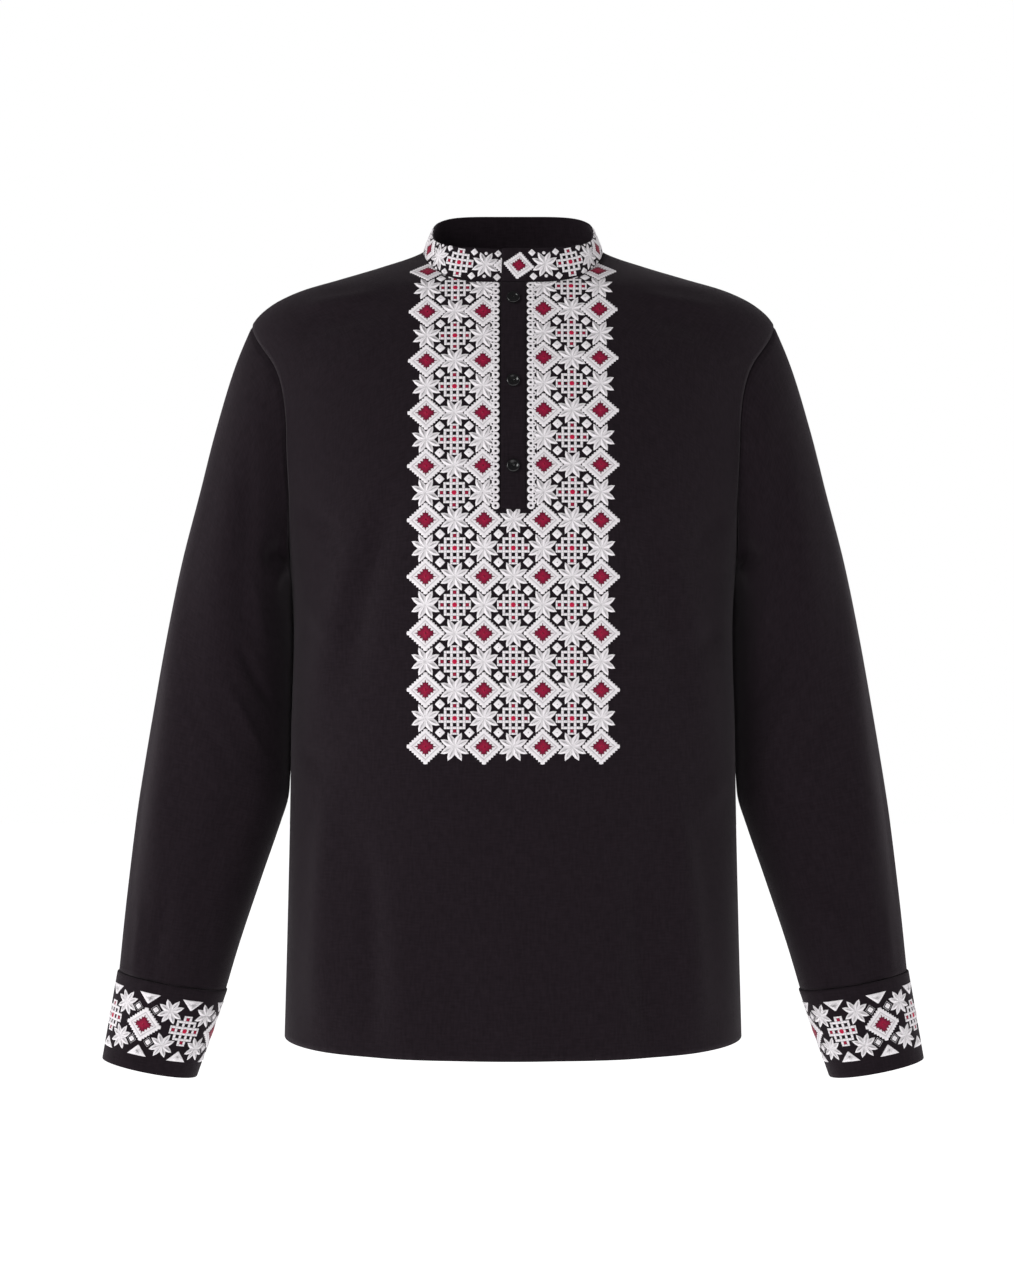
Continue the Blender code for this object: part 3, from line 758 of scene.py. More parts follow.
def sleeve_skin():
    """The wearer's left sleeve, ring by ring. The first rings keep a share, (1 - i/7)^2, of
    the difference between the armhole and the first oval."""
    arm_drop, arm_angle = armhole()
    seams = [torso(arm_angle, arm_drop, side) for side in (-1, 1)]
    seam = np.vstack([seams[0], seams[1][-2:0:-1]])
    names = ("outer_drop", "inner_drop", "depth", "mid_y")
    outer_drop, inner_drop, depth, mid_y = (read(SLEEVE_RINGS, name, RING) for name in names)
    outer = (read(SLEEVE_OUTER, "x", outer_drop), outer_drop)
    inner = (read(SLEEVE_INNER, "x", inner_drop), inner_drop)
    skin = ring_points(outer, inner, depth, mid_y)
    keep = np.maximum(1.0 - RING / CAP_RINGS, 0.0)[..., None] ** 2
    return skin + keep * (seam - skin[0])


def sleeve_height(share):
    """Crease height at every ring and column; share scales it by the column called other."""
    angle = 360.0 * np.arange(RING_COLUMNS)[None, :] / RING_COLUMNS
    height = np.zeros((len(RING), RING_COLUMNS))
    for a0, r0, a1, r1, bow, width, tall, other in zip(*SLEEVE_CREASES.values()):
        along = np.clip((RING - r0) / (r1 - r0), 0, 1)
        middle = a0 + along * (a1 - a0) + 4 * bow * along * (1 - along)
        fade = smooth_step(along / 0.36) * smooth_step((1 - along) / 0.36)
        size = tall * (other if share else 1.0)
        height += size * fade * np.exp(-(((angle - middle) / width) ** 2))
    return height


SEAM_SINK = 1.5
SEAM_TUCK = 0.5
SUNK_RINGS = 4
plain_sleeve = sleeve_skin()
sleeve_out = grid_normals(plain_sleeve, closed=True)
armhole_push = unit(plain_sleeve[3] - plain_sleeve[0]) * -SEAM_TUCK
sunk = np.maximum(1.0 - np.arange(SUNK_RINGS) / SUNK_RINGS, 0.0)[:, None, None]
for sleeve_name, share in (("sleeve_left", False), ("sleeve_right", True)):
    skin = plain_sleeve + sleeve_out * sleeve_height(share)[..., None]
    skin[0] += armhole_push
    skin[:SUNK_RINGS] -= sleeve_out[:SUNK_RINGS] * SEAM_SINK * sunk
    out = sleeve_out
    if share:
        skin, out = mirrored(skin)[:, ::-1], mirrored(out)[:, ::-1]
    cloth_piece(sleeve_name + "_cloth", skin, out, CLOTH_THICK, black_cloth, closed=True)

# %% [markdown]
# ## Cuffs
# A cuff is a straight band of doubled cloth with interlining, so it stays smooth and firm. It
# runs from the sleeve seam to its own folded edge, a little narrower below. A bevel rounds the
# fold.

# %% Cuffs
CUFF_RINGS = table(
    "outer_x outer_drop inner_x inner_drop depth mid_y",
    [
        (352.1, 641.5, 254.7, 659.5, 45.0, -16.0),
        (365.0, 719.0, 281.2, 736.0, 38.5, -22.0),
    ],
)
CUFF_THICK = 2.2
CUFF_ROWS = 20


def cuff_skin():
    """The wearer's left cuff: a straight blend from its upper oval to its lower one."""
    ends = []
    for outer_x, outer_drop, inner_x, inner_drop, depth, mid_y in zip(*CUFF_RINGS.values()):
        ends.append(ring_points((outer_x, outer_drop), (inner_x, inner_drop), depth, mid_y))
    down = np.linspace(0.0, 1.0, CUFF_ROWS + 1)[:, None, None]
    return (1 - down) * ends[0] + down * ends[1]


def round_edges(piece, width):
    """A small bevel along the sharp edges, after the thickness is made."""
    soft = piece.modifiers.new("Rounded edge", "BEVEL")
    soft.width = width * MM
    soft.segments = 2
    soft.limit_method = "ANGLE"
    soft.angle_limit = math.radians(50)


cuff = cuff_skin()
cuff_out = grid_normals(cuff, closed=True)
right = [mirrored(grid)[:, ::-1] for grid in (cuff, cuff_out)]
for cuff_name, skin, out in (("cuff_left", cuff, cuff_out), ("cuff_right", *right)):
    piece = cloth_piece(cuff_name + "_cloth", skin, out, CUFF_THICK, black_cloth, closed=True)
    round_edges(piece, 0.7)

# %% [markdown]
# ## Stand collar
# The collar is one strip of two layers. Its base follows the neckline and its rim is a
# smaller oval that slopes forward. Its two ends cross at the middle of the front, where the
# under end sinks by the collar's thickness.

# %% Collar
RIM_HALF = 72.0
RIM_DEPTH = 58.0
RIM_MID_Y = 1.0
RIM_HEIGHT = 17.6
RIM_SLOPE = 0.375
RIM_SQUARE = 3.5
COLLAR_THICK = 2.2
COLLAR_SWELL = 0.8
COLLAR_ROWS = 12
LAP_REACH = 40.0


def collar_skin():
    """Columns from the end that lies under, round the wearer's right, the back and the
    wearer's left, to the end that lies over. Rows run from the rim to the base."""
    sides = []
    for side in (-1, 1):
        x, drop = neckline(side)
        sides.append(torso(torso_angle(x, drop), drop, side))
    front, back = sides
    x = np.linspace(SLOT_HALF, SEAM_GAP - SLOT_HALF, 9)[1:]
    drop = neck_drop(x, -1)
    lap = torso(torso_angle(np.abs(x), drop), drop, -1)
    lap[:, 0] = x
    right = [mirrored(lap)[::-1], mirrored(front[::-1]), mirrored(back[1:])]
    base = np.vstack(right + [back[::-1], front[1:], lap])
    rim_x = base[:, 0] * RIM_HALF / NECK_HALF
    round_off = np.clip(1 - np.abs(rim_x / RIM_HALF) ** RIM_SQUARE, 0.0, 1.0) ** (1 / RIM_SQUARE)
    rim_y = RIM_MID_Y + np.sign(base[:, 1]) * RIM_DEPTH * round_off
    rim = np.stack([rim_x, rim_y, RIM_HEIGHT + RIM_SLOPE * rim_y], axis=-1)
    base = base + np.array([0.0, 0.0, SEAM_GAP + 0.1])
    down = np.linspace(0.0, 1.0, COLLAR_ROWS + 1)[:, None, None]
    skin = (1 - down) * rim + down * base
    out = grid_normals(skin, closed=False)
    skin = skin + out * COLLAR_SWELL * 4 * down * (1 - down)
    count = len(base)
    reach = np.where(np.arange(count) < count // 2, base[:, 0] + LAP_REACH, 0.0)
    reach = np.where(base[:, 1] < 0, reach, 0.0)
    under = smooth_step(reach / (LAP_REACH - SLOT_HALF))
    return skin - out * (under * (COLLAR_THICK + SEAM_GAP + 0.1))[:, None], out


collar, collar_out = collar_skin()
piece = cloth_piece("collar_cloth", collar, collar_out, COLLAR_THICK, black_cloth)
round_edges(piece, 0.7)

# %% [markdown]
# ## Plackets
# The opening is filled by a plain strip with the buttonholes, and behind it lies the strip
# that carries the buttons. Both are flat strips that follow the body's centre line.

# %% Placket strips
PLACKET_THICK = 1.6
UNDER_CLEAR = 1.0
UNDER_EDGES = (-14.0, 10.2)
PLACKET_HALF = SLOT_HALF - SEAM_GAP


def strip_skin(left, right, top, bottom, rise, rows=48, columns=9):
    """A strip on the centre front between two half widths and two drops, moved out along the
    body's outward direction by its rise."""
    drop = np.linspace(top, bottom, rows + 1)[:, None]
    x = np.linspace(left, right, columns)[None, :] + 0.0 * drop
    drop = drop + 0.0 * x
    points = torso(torso_angle(np.abs(x), drop), drop, -1)
    points[..., 0] = x
    out = torso_normal(points, -1)
    return points + out * rise, out


top, bottom = NECK_FRONT_DROP + SEAM_GAP, SLOT_END_DROP - SEAM_GAP
upper, upper_out = strip_skin(-PLACKET_HALF, PLACKET_HALF, top, bottom, SEAM_GAP)
piece = cloth_piece("placket_upper_cloth", upper, upper_out, PLACKET_THICK, black_cloth)
round_edges(piece, 0.5)
sunk = SEAM_GAP - PLACKET_THICK - UNDER_CLEAR
under, under_out = strip_skin(*UNDER_EDGES, NECK_FRONT_DROP + 2.0, SLOT_END_DROP + 8.0, sunk)
cloth_piece("placket_under_cloth", under, under_out, CLOTH_THICK, black_cloth)

# %% [markdown]
# ## How the thread work is built
# Satin stitches stand up from the cloth as smooth, rounded pads. So each motif is made of
# small lofts: rings of points that start at the cloth, rise over a rounded edge and close on
# top. A motif is worked out once, flat, in millimetres. Its copies are then laid on the cloth
# by a function that knows the curved surface, which is how an array along a form works.

# %% Motif helpers


def stair_loop(wide, tall, steps, jag):
    """A diamond outline |x|/wide + |y|/tall = 1 whose sides climb in steps. Points on the side
    are pulled in by a share 0.04 jag, and those between them are pushed out towards the
    stair's corner by the share jag. The diamond's own corners stay sharp."""
    k = np.arange(steps) / steps
    on = np.stack([wide * (1 - k), tall * k], axis=-1)
    after = np.stack([wide * (1 - k - 1 / steps), tall * (k + 1 / steps)], axis=-1)
    corner = np.stack([on[:, 0], after[:, 1]], axis=-1)
    between = (on + after) / 2
    between = between + jag * (corner - between)
    on[1:] *= 1.0 - 0.04 * jag
    quarter = np.stack([on, between], axis=1).reshape(-1, 2)
    flip = np.array([-1.0, 1.0])
    second = np.vstack([[0.0, tall], (quarter[1:] * flip)[::-1]])
    half = np.vstack([quarter, second])
    return np.vstack([half, -half])


def loft(loops, heights, shades, across):
    """One pad from loops of the same number of points, outer first. Each loop has a height
    above the cloth and a shade, and across gives each corner its distance along the stitches'
    row. The last loop is closed with one face."""
    count = len(loops[0])
    levels = [np.column_stack([l, np.full(count, h)]) for l, h in zip(loops, heights)]
    points = np.concatenate(levels)
    shade = np.repeat(np.array(shades, dtype=float), count)
    cells, row, column = grid_cells(len(loops), count, closed=True)
    uv = np.stack([across[column], np.array(heights)[row]], axis=-1)
    cap = (len(loops) - 1) * count + np.arange(count)[None, :]
    cap_uv = np.stack([points[cap, 0], points[cap, 1]], axis=-1)
    return {"points": points, "shade": shade, "groups": [cells, cap], "uvs": [uv, cap_uv]}


def ring_loft(loops, heights, shades, across):
    """As a loft, but open in the middle, for a frame whose last loop meets the cloth."""
    made = loft(loops, heights, shades, across)
    return {**made, "groups": made["groups"][:1], "uvs": made["uvs"][:1]}


def along_loop(loop):
    """Distance round a loop at each of its points, and once more at its end."""
    return run_length(np.vstack([loop, loop[:1]]))


def stitched(made, over):
    """The same part with its stitches' rows counted in the direction over."""
    points = made["points"]
    uvs = [np.stack([points[g][..., :2] @ over, points[g][..., 2]], axis=-1) for g in made["groups"]]
    return {**made, "uvs": uvs}


def pad(outline, height, inset, shade=1.0, rim_shade=None, grain=0.0):
    """A rounded pad on an outline: its rings shrink towards the outline's middle. Stitches
    lie at an angle of grain degrees to the x axis."""
    outline = np.array(outline, dtype=float)
    middle = outline.mean(axis=0)
    radius = np.linalg.norm(outline - middle, axis=1).mean()
    sizes = [1.0, 1 - inset / radius, 1 - 2.2 * inset / radius, 0.12]
    loops = [middle + (outline - middle) * size for size in sizes]
    # rim_shade makes the pad's rim darker than its top: painted shade where the pad dips to the cloth.
    rim_shade = shade if rim_shade is None else rim_shade
    heights = [-0.25, 0.7 * height, height, height]
    made = loft(loops, heights, [rim_shade, rim_shade, shade, shade], along_loop(outline))
    turn = np.radians(grain)
    return stitched(made, np.array([-np.sin(turn), np.cos(turn)]))


def joined(parts):
    """Several pieces of a motif as one: their arrays joined and face numbers shifted."""
    start = np.cumsum([0] + [len(p["points"]) for p in parts])
    sizes = sorted({g.shape[1] for p in parts for g in p["groups"]})
    groups, uvs = [], []
    for size in sizes:
        pairs = []
        for part, shift in zip(parts, start):
            same = [(g + shift, u) for g, u in zip(part["groups"], part["uvs"]) if g.shape[1] == size]
            pairs.extend(same)
        groups.append(np.concatenate([g for g, _ in pairs]))
        uvs.append(np.concatenate([u for _, u in pairs]))
    return {
        "points": np.concatenate([p["points"] for p in parts]),
        "shade": np.concatenate([p["shade"] for p in parts]),
        "groups": groups,
        "uvs": uvs,
    }


def copies(motif, places, lay):
    """Copies of a motif laid on cloth. places are rows of x, y, size and turn in degrees, and
    lay turns flat points (x, y, height) into points in space and says which fall off."""
    places = np.array(places, dtype=float)
    turn = np.radians(places[:, 3])[:, None]
    x, y, h = motif["points"].T
    size = places[:, 2][:, None]
    across = places[:, 0][:, None] + size * (np.cos(turn) * x - np.sin(turn) * y)
    down = places[:, 1][:, None] + size * (np.sin(turn) * x + np.cos(turn) * y)
    flat = np.stack([across, down, h + 0.0 * across], axis=-1)
    space, off = lay(flat)
    number, count = len(places), len(x)
    shift = (np.arange(number) * count)[:, None, None]
    groups, uvs = [], []
    off = off.reshape(-1)
    for group, uv in zip(motif["groups"], motif["uvs"]):
        faces = (group[None] + shift).reshape(-1, group.shape[1])
        kept = ~off[faces].all(axis=1)
        groups.append(faces[kept])
        uvs.append(np.tile(uv, (number, 1, 1))[kept])
    shade = np.tile(motif["shade"], number)
    return {"points": space.reshape(-1, 3), "shade": shade, "groups": groups, "uvs": uvs}


def profile_loft(make, outline_at, profile, across):
    """A loft or ring loft whose rows give a size, a height and a shade."""
    loops = [outline_at(size) for size, _, _ in profile]
    return make(loops, [p[1] for p in profile], [p[2] for p in profile], across)


# %% [markdown]
# ## The motifs
# Three figures share the work. A diamond has a stepped white frame with a thin groove and a
# crimson heart. A star has eight satin petals. A lattice block is charted cell by cell below,
# as on a stitcher's paper: W is a white block, C a dark crimson one, R the bright middle, L a
# short crimson link, and a dot is bare cloth. Four small white diamonds stand at its corners.

# %% Diamond
DIAMOND_WIDE = 17.0
DIAMOND_TALL = 15.9
FRAME_STEPS = 8
# Rows give a size, a jag, a height and a shade. The lower shades at the frame's edges and in its groove
# are painted shade.
FRAME_PROFILE = [
    (0.965, 0.7, -0.25, 0.70),
    (0.935, 0.7, 0.46, 0.95),
    (0.85, 0.4, 0.58, 1.00),
    (0.745, 0.0, 0.50, 0.95),
    (0.705, 0.0, 0.34, 0.50),
    (0.670, 0.0, 0.34, 0.50),
    (0.630, 0.0, 0.50, 0.95),
    (0.52, 0.2, 0.60, 1.00),
    (0.45, 0.6, 0.50, 0.95),
    (0.41, 0.8, 0.10, 0.70),
]


def diamond_frame(wide, tall):
    """The white frame: each ring is the stepped diamond at a share of its size."""
    loops = [stair_loop(wide * s, tall * s, FRAME_STEPS, jag) for s, jag, _, _ in FRAME_PROFILE]
    heights, shades = zip(*[row[2:] for row in FRAME_PROFILE])
    return ring_loft(loops, heights, shades, along_loop(stair_loop(wide, tall, FRAME_STEPS, 0.0)))


HEART_STEPS = 3
HEART_PROFILE = [
    (0.395, 1.7, -0.25, 0.0),
    (0.375, 1.6, 0.62, 0.08),
    (0.28, 1.0, 0.74, 0.25),
    (0.13, 0.3, 0.78, 0.48),
    (0.02, 0.0, 0.78, 0.55),
]
SPIKE_SHARES = (0.36, 0.555)
SPIKE_HALF = 0.55


def diamond_heart(wide, tall):
    """The crimson heart: a diamond of three steps a side, dark at its rim and bright within,
    and a thin dark spike from each of its corners."""
    loops = [stair_loop(wide * s, tall * s, HEART_STEPS, jag) for s, jag, _, _ in HEART_PROFILE]
    heights, shades = zip(*[row[2:] for row in HEART_PROFILE])
    rim = stair_loop(wide * 0.4, tall * 0.4, HEART_STEPS, 0.0)
    heart = loft(loops, heights, shades, along_loop(rim))
    spikes = []
    for x, y in ((1, 0), (0, 1), (-1, 0), (0, -1)):
        corner = np.array([x * wide, y * tall])
        near, far = (corner * share for share in SPIKE_SHARES)
        half = np.array([-y, x]) * SPIKE_HALF
        outline = [near - half, far - half * 0.4, far + half * 0.4, near + half]
        spikes.append(pad(outline, 0.72, 0.12, shade=0.0))
    return joined([heart] + spikes)


white_diamond = diamond_frame(DIAMOND_WIDE, DIAMOND_TALL)
crimson_heart = diamond_heart(DIAMOND_WIDE, DIAMOND_TALL)
print("diamond:", sum(len(g) for g in white_diamond["groups"]), "faces")

# %% Star
PETAL_TIP = (6.0, 12.1)
PETAL_AXIS_NOTCH = 6.9
PETAL_SIDE_NOTCH = (5.6, 5.6)
PETAL_SWELL = 0.5
SPINE_ENDS = 0.8
RIDGE_START = 0.22
RIDGE_TOP = 0.94


def star():
    """Eight petals: each is a kite from the middle, by the notch on the axis, to its tip and
    by the notch on the diagonal back, with its sides swelled a little. Each has a ridge along
    its length, and the stitches lie across it."""
    notch, side_notch, tip = (0.0, PETAL_AXIS_NOTCH), PETAL_SIDE_NOTCH, PETAL_TIP
    swell = PETAL_SWELL
    right_side = ((side_notch[0] + tip[0]) / 2 + swell, (side_notch[1] + tip[1]) / 2)
    left_side = ((notch[0] + tip[0]) / 2 - swell * 0.7, (notch[1] + tip[1]) / 2 + swell * 0.7)
    first = np.array([(0.0, 0.0), side_notch, right_side, tip, left_side, notch])
    petals = []
    for quarter in range(4):
        turn = math.radians(90 * quarter)
        spin = np.array([[math.cos(turn), -math.sin(turn)], [math.sin(turn), math.cos(turn)]])
        for flip in (False, True):
            outline = first
            if flip:
                outline = (first * np.array([-1.0, 1.0]))[[0, 5, 4, 3, 2, 1]]
            outline = outline @ spin.T
            top = outline[3]
            direction = top / np.linalg.norm(top)
            reach = SPINE_ENDS * np.linalg.norm(top)
            spine = np.clip(outline @ direction, SPINE_ENDS, reach)[:, None] * direction
            rise = outline + (spine - outline) * RIDGE_START
            peak = outline + (spine - outline) * RIDGE_TOP
            # The petal's outer loop is painted darker: painted shade in the grooves between the petals.
            heights, shades = [0.05, 0.42, 0.56], [0.68, 1.0, 1.0]
            made = loft([outline, rise, peak], heights, shades, along_loop(outline))
            petals.append(stitched(made, direction))
    return joined(petals)


white_star = star()
print("star:", sum(len(g) for g in white_star["groups"]), "faces")

# %% Lattice block
LATTICE_EDGES = [-13.9, -12.3, -9.25, -6.95, -3.85, -1.55, 1.55, 3.85, 6.95, 9.25, 12.3, 13.9]
LATTICE_CHART = [
    "....WWW....",
    "....WCW....",
    "..WWWWWWW..",
    "..W.W.W.W..",
    "WWWWWWWWWWW",
    "WCWLWRWLWCW",
    "WWWWWWWWWWW",
    "..W.W.W.W..",
    "..WWWWWWW..",
    "....WCW....",
    "....WWW....",
]
SMALL_DIAMOND = 4.5
SMALL_PLACE = (12.6, 12.1)
SMALL_POWER = 1.08
LINK_HALF = (0.9, 0.7)
LINK_SHIFT = 0.8
CENTRE_DOT = 2.55


def cell_outline(column, row):
    """The corners of one charted cell."""
    x0, x1 = LATTICE_EDGES[column : column + 2]
    y0, y1 = LATTICE_EDGES[row : row + 2]
    return [(x0, y0), (x1, y0), (x1, y1), (x0, y1)]


def round_outline(radius, count=16):
    """Points on a circle."""
    turn = 2 * math.pi * np.arange(count) / count
    return np.stack([radius * np.cos(turn), radius * np.sin(turn)], axis=-1)


def small_diamond(radius):
    """A little diamond with slightly rounded sides: |x|^1.08 + |y|^1.08 = radius^1.08."""
    turn = 2 * math.pi * np.arange(16) / 16
    c, s = np.cos(turn), np.sin(turn)
    reach = radius / (np.abs(c) ** SMALL_POWER + np.abs(s) ** SMALL_POWER) ** (1 / SMALL_POWER)
    return np.stack([reach * c, reach * s], axis=-1)


white_cells, crimson_cells = [], []
for row, line in enumerate(LATTICE_CHART):
    for column, mark in enumerate(line):
        grain = 90.0 * ((row + column) % 2)
        cell = cell_outline(column, row)
        if mark == "W":
            white_cells.append(pad(cell, 0.42, 0.18, shade=0.96, rim_shade=0.82, grain=grain))
        elif mark == "C":
            crimson_cells.append(pad(cell, 0.34, 0.25, shade=0.5, rim_shade=0.2))
        elif mark == "L":
            middle = np.array([(LATTICE_EDGES[column] + LATTICE_EDGES[column + 1]) / 2, 0.0])
            middle = middle + (LINK_SHIFT if column < 5 else -LINK_SHIFT, 0.0)
            outline = middle + np.array(CORNER_SIGNS) * LINK_HALF
            crimson_cells.append(pad(outline, 0.3, 0.2, shade=0.2))
crimson_cells.append(pad(round_outline(CENTRE_DOT), 0.75, 0.5, shade=1.0, rim_shade=0.8))
small_white = pad(small_diamond(SMALL_DIAMOND), 0.6, 0.3, rim_shade=0.85, grain=45.0)
white_lattice, crimson_lattice = joined(white_cells), joined(crimson_cells)
lattice_groups = white_lattice["groups"] + crimson_lattice["groups"]
print("lattice:", sum(len(g) for g in lattice_groups), "faces")

# %% [markdown]
# ## Thread finishes
# Mercerised cotton thread is bright and a little silky. Each finish mixes a shadowed and a
# full colour by the shade that every point carries, and adds fine ridges, one thread apart,
# across the stitches. On the white thread the shadowed colour is painted shade: on the pads'
# rims, the petals' edges, the diamond frame's groove and the braid's eyes. On the crimson
# thread the mix gives the dark crimson blocks and spikes their own colour and makes the heart
# darker towards its rim. It also paints shade on the rims of the other pads. The ridges follow
# the piece's own UV, which was laid along the stitches.

# %% Thread finishes
STITCH_PITCH = 0.00042


def thread(name, dark, full, roughness, specular):
    """Satin thread: colour by shade with a slight mottle, and stitch ridges as bump."""
    material, tree, shader = new_finish(name, roughness, specular, 0.06, 0.4)
    uv = node(tree, "ShaderNodeUVMap", uv_map="thread").outputs["UV"]
    shade = node(tree, "ShaderNodeAttribute", attribute_name="shade").outputs["Fac"]
    mottle = slubs(tree, node(tree, "ShaderNodeTexCoord").outputs["Object"], (1.0, 1.0, 1.0), 420.0)
    limits = {"From Min": 0.3, "From Max": 0.7, "To Min": -0.10, "To Max": 0.06}
    spread = node(tree, "ShaderNodeMapRange", {"Value": mottle, **limits})
    level = sum_of(tree, shade, spread.outputs[0], use_clamp=True)
    tree.links.new(blend(tree, level, dark, full), shader.inputs["Base Color"])
    raise_by(tree, shader, bands(tree, uv, "X", STITCH_PITCH, 0.6), 0.55, 0.00015)
    return material


# The white thread's dark colour is painted shade. The crimson thread's dark colour is the dark crimson
# of the thread, and the shade values also use it to paint shade on pad rims.
white_thread = thread("white thread", (0.31, 0.285, 0.305), (0.78, 0.745, 0.77), 0.5, 0.2)
crimson_thread = thread("crimson thread", (0.095, 0.004, 0.022), (0.47, 0.003, 0.046), 0.55, 0.12)
print("thread finishes:", white_thread.name, "and", crimson_thread.name)

# %% [markdown]
# ## The embroidered front
# Columns of motifs stand 25 mm apart, and rows lie along the cloth, closer together in the
# view where the chest leans back. The cloth's length down the front is summed up once, so a
# row's place along it gives its drop. What would fall past the neckline or into the opening
# is cut there, as the maker trims the work into the seam.

# %% Lay thread on the front
COLUMN_PITCH = 25.0
ROW_PITCH = 48.4
LAST_ROW_DROP = 439.0
ROWS = 10
SLOT_SPREAD = 1.2
SIDE_SLIP = 1.8
BRAID_WIDE = 8.0
PROFILE_X = 45.0
STAR_UNDER_REACH = 14.0
STAR_UNDER_SIZE = 0.94
front_drops = np.linspace(4.0, 520.0, 800)
profile = torso(torso_angle(PROFILE_X + 0.0 * front_drops, front_drops), front_drops, -1)
lengths = run_length(profile)
last_length = np.interp(LAST_ROW_DROP, front_drops, lengths)


def on_front(flat, margin, slot_margin):
    """Flat points (x, distance down the cloth, height) on the front. Those past the neckline
    or inside the opening are moved to its edge and reported."""
    x, y, h = flat[..., 0], flat[..., 1], flat[..., 2]
    drop = np.interp(y, lengths, front_drops)
    top = neck_drop(x, -1) + margin
    above = (np.abs(x) < NECK_HALF) & (drop < top)
    drop = np.where(above, top, drop)
    edge = SLOT_HALF + slot_margin
    below = SLOT_END_DROP + 0.4
    inside = (np.abs(x) < edge) & (drop < below)
    lowered = inside & (below - drop < edge - np.abs(x))
    drop = np.where(lowered, below, drop)
    x = np.where(inside & ~lowered, np.where(x < 0, -edge, edge), x)
    points = torso(torso_angle(np.abs(x), drop), drop, -1)
    points[..., 0] = x
    out = torso_normal(points, -1)
    lift = body_height(x, drop, -1) + h
    return points + out * lift[..., None], above | inside


def spot(x, down):
    """Where a figure of the regular grid goes, with its size and turn. Beside the opening the
    inner columns spread by up to 1.2 mm, and the wearer's right half hangs lower than the left
    by up to 3 mm: slip = 1.8 sin(pi down / slot length), less and upwards on the left."""
    beside = np.clip(down / slot_length, 0.0, 1.0)
    share = np.clip((3 * COLUMN_PITCH - abs(x)) / (2 * COLUMN_PITCH), 0, 1) if beside < 1.0 else 0.0
    slip = SIDE_SLIP * math.sin(math.pi * beside) * (1.0 if x < 0 else -0.6)
    return x + np.sign(x) * SLOT_SPREAD * share, down + slip, 1.0, 0.0


slot_length = np.interp(SLOT_END_DROP, front_drops, lengths)
diamonds, stars, lattices, smalls = [], [], [], []
for k in range(ROWS):
    place = last_length - ROW_PITCH * (ROWS - 1 - k)
    between = place + ROW_PITCH / 2
    drop = np.interp(place, lengths, front_drops)
    print(f"row {k}: drop {drop:.0f} mm")
    for column in range(-3, 4):
        x = COLUMN_PITCH * column
        if column % 2:
            diamonds.append(spot(x, place))
            if k < ROWS - 1:
                stars.append(spot(x, between))
        elif column or drop > SLOT_END_DROP:
            under_slot = column == 0 and place - slot_length < STAR_UNDER_REACH
            stars.append((*spot(x, place)[:2], STAR_UNDER_SIZE if under_slot else 1.0, 0.0))
        clear = column or drop + ROW_PITCH / 2 > SLOT_END_DROP + 10
        if column % 2 == 0 and k < ROWS - 1 and clear:
            at = spot(x, between)
            lattices.append(at)
            for sx, sy in ((-1, -1), (1, -1), (-1, 1), (1, 1)):
                corner = (at[0] + sx * SMALL_PLACE[0], at[1] + sy * SMALL_PLACE[1])
                smalls.append((*corner, 1.0, 0.0))


def lay_main(flat):
    """The main figures stop at the braid beside the opening."""
    return on_front(flat, 0.5, BRAID_WIDE - 1.0)


def lay_edge(flat):
    """The braid reaches the opening's edge."""
    return on_front(flat, 0.5, 0.3)


# %% [markdown]
# ## Braid beside the opening
# A narrow lace-like braid runs down each side of the opening: a column of loops, each with an
# eye, that scallop its edge, and a column of smaller loops beside them that fill the notches.

# %% Braid
LOOP_PITCH = 6.9
LOOP_OUT = 3.4
LOOP_POINTS = 18
# Rows give a radius, a height and a shade. The darker eye and outer edge are painted shade where the
# loop dips to the cloth.
LOOP_PROFILE = [
    (LOOP_OUT, -0.1, 0.8),
    (LOOP_OUT - 0.35, 0.45, 0.95),
    (2.2, 0.66, 1.0),
    (1.3, 0.5, 0.9),
    (0.95, -0.25, 0.4),
]
LARGE_LOOP_OFF = 0.9
SMALL_LOOP_OFF = 3.7
SMALL_LOOP_SIZE = 0.66
slot_end = np.interp(SLOT_END_DROP + 0.5, front_drops, lengths)
neck_start = np.interp(NECK_FRONT_DROP, front_drops, lengths)


def braid_loop():
    """A ring with a round section: its radius runs from the eye to the outside."""
    across = along_loop(round_outline(2.5, LOOP_POINTS))
    return profile_loft(ring_loft, lambda r: round_outline(r, LOOP_POINTS), LOOP_PROFILE, across)


loop_places = []
loops_a_side = int((slot_end - neck_start) / LOOP_PITCH)
large_x, small_x = (SLOT_HALF + LOOP_OUT + off for off in (LARGE_LOOP_OFF, SMALL_LOOP_OFF))
for x_side in (-1, 1):
    for k in range(loops_a_side):
        at = slot_end - (k + 0.5) * LOOP_PITCH
        loop_places.append((x_side * large_x, at, 1.0, 0.0))
        loop_places.append((x_side * small_x, at - LOOP_PITCH / 2, SMALL_LOOP_SIZE, 0.0))


def laid(lay, *pairs):
    """Motifs and their places laid on one cloth and joined."""
    return joined([copies(motif, places, lay) for motif, places in pairs])


def sew(name, work, finish):
    """One piece of the shirt from finished thread or button work."""
    make_piece(name, work["points"], work["groups"], work["uvs"], finish, work["shade"])
    print(name, sum(len(g) * (g.shape[1] - 2) for g in work["groups"]), "triangles")


plastron_white = joined([
    laid(lay_main, (white_diamond, diamonds), (white_star, stars)),
    laid(lay_main, (white_lattice, lattices), (small_white, smalls)),
    laid(lay_edge, (braid_loop(), loop_places)),
])
sew("plastron_white_thread", plastron_white, white_thread)
plastron_crimson = laid(lay_main, (crimson_heart, diamonds), (crimson_lattice, lattices))
sew("plastron_crimson_thread", plastron_crimson, crimson_thread)

# %% [markdown]
# ## Thread work on the collar and cuffs
# The same figures go round the collar at a smaller size, and round the cuffs between rows of
# little triangles. Here the cloth is a grid, so a place on it is read between grid points:
# the distance round picks the column, and the share of the height picks the row.

# %% Lay thread on a grid
END_CLEAR = 0.6


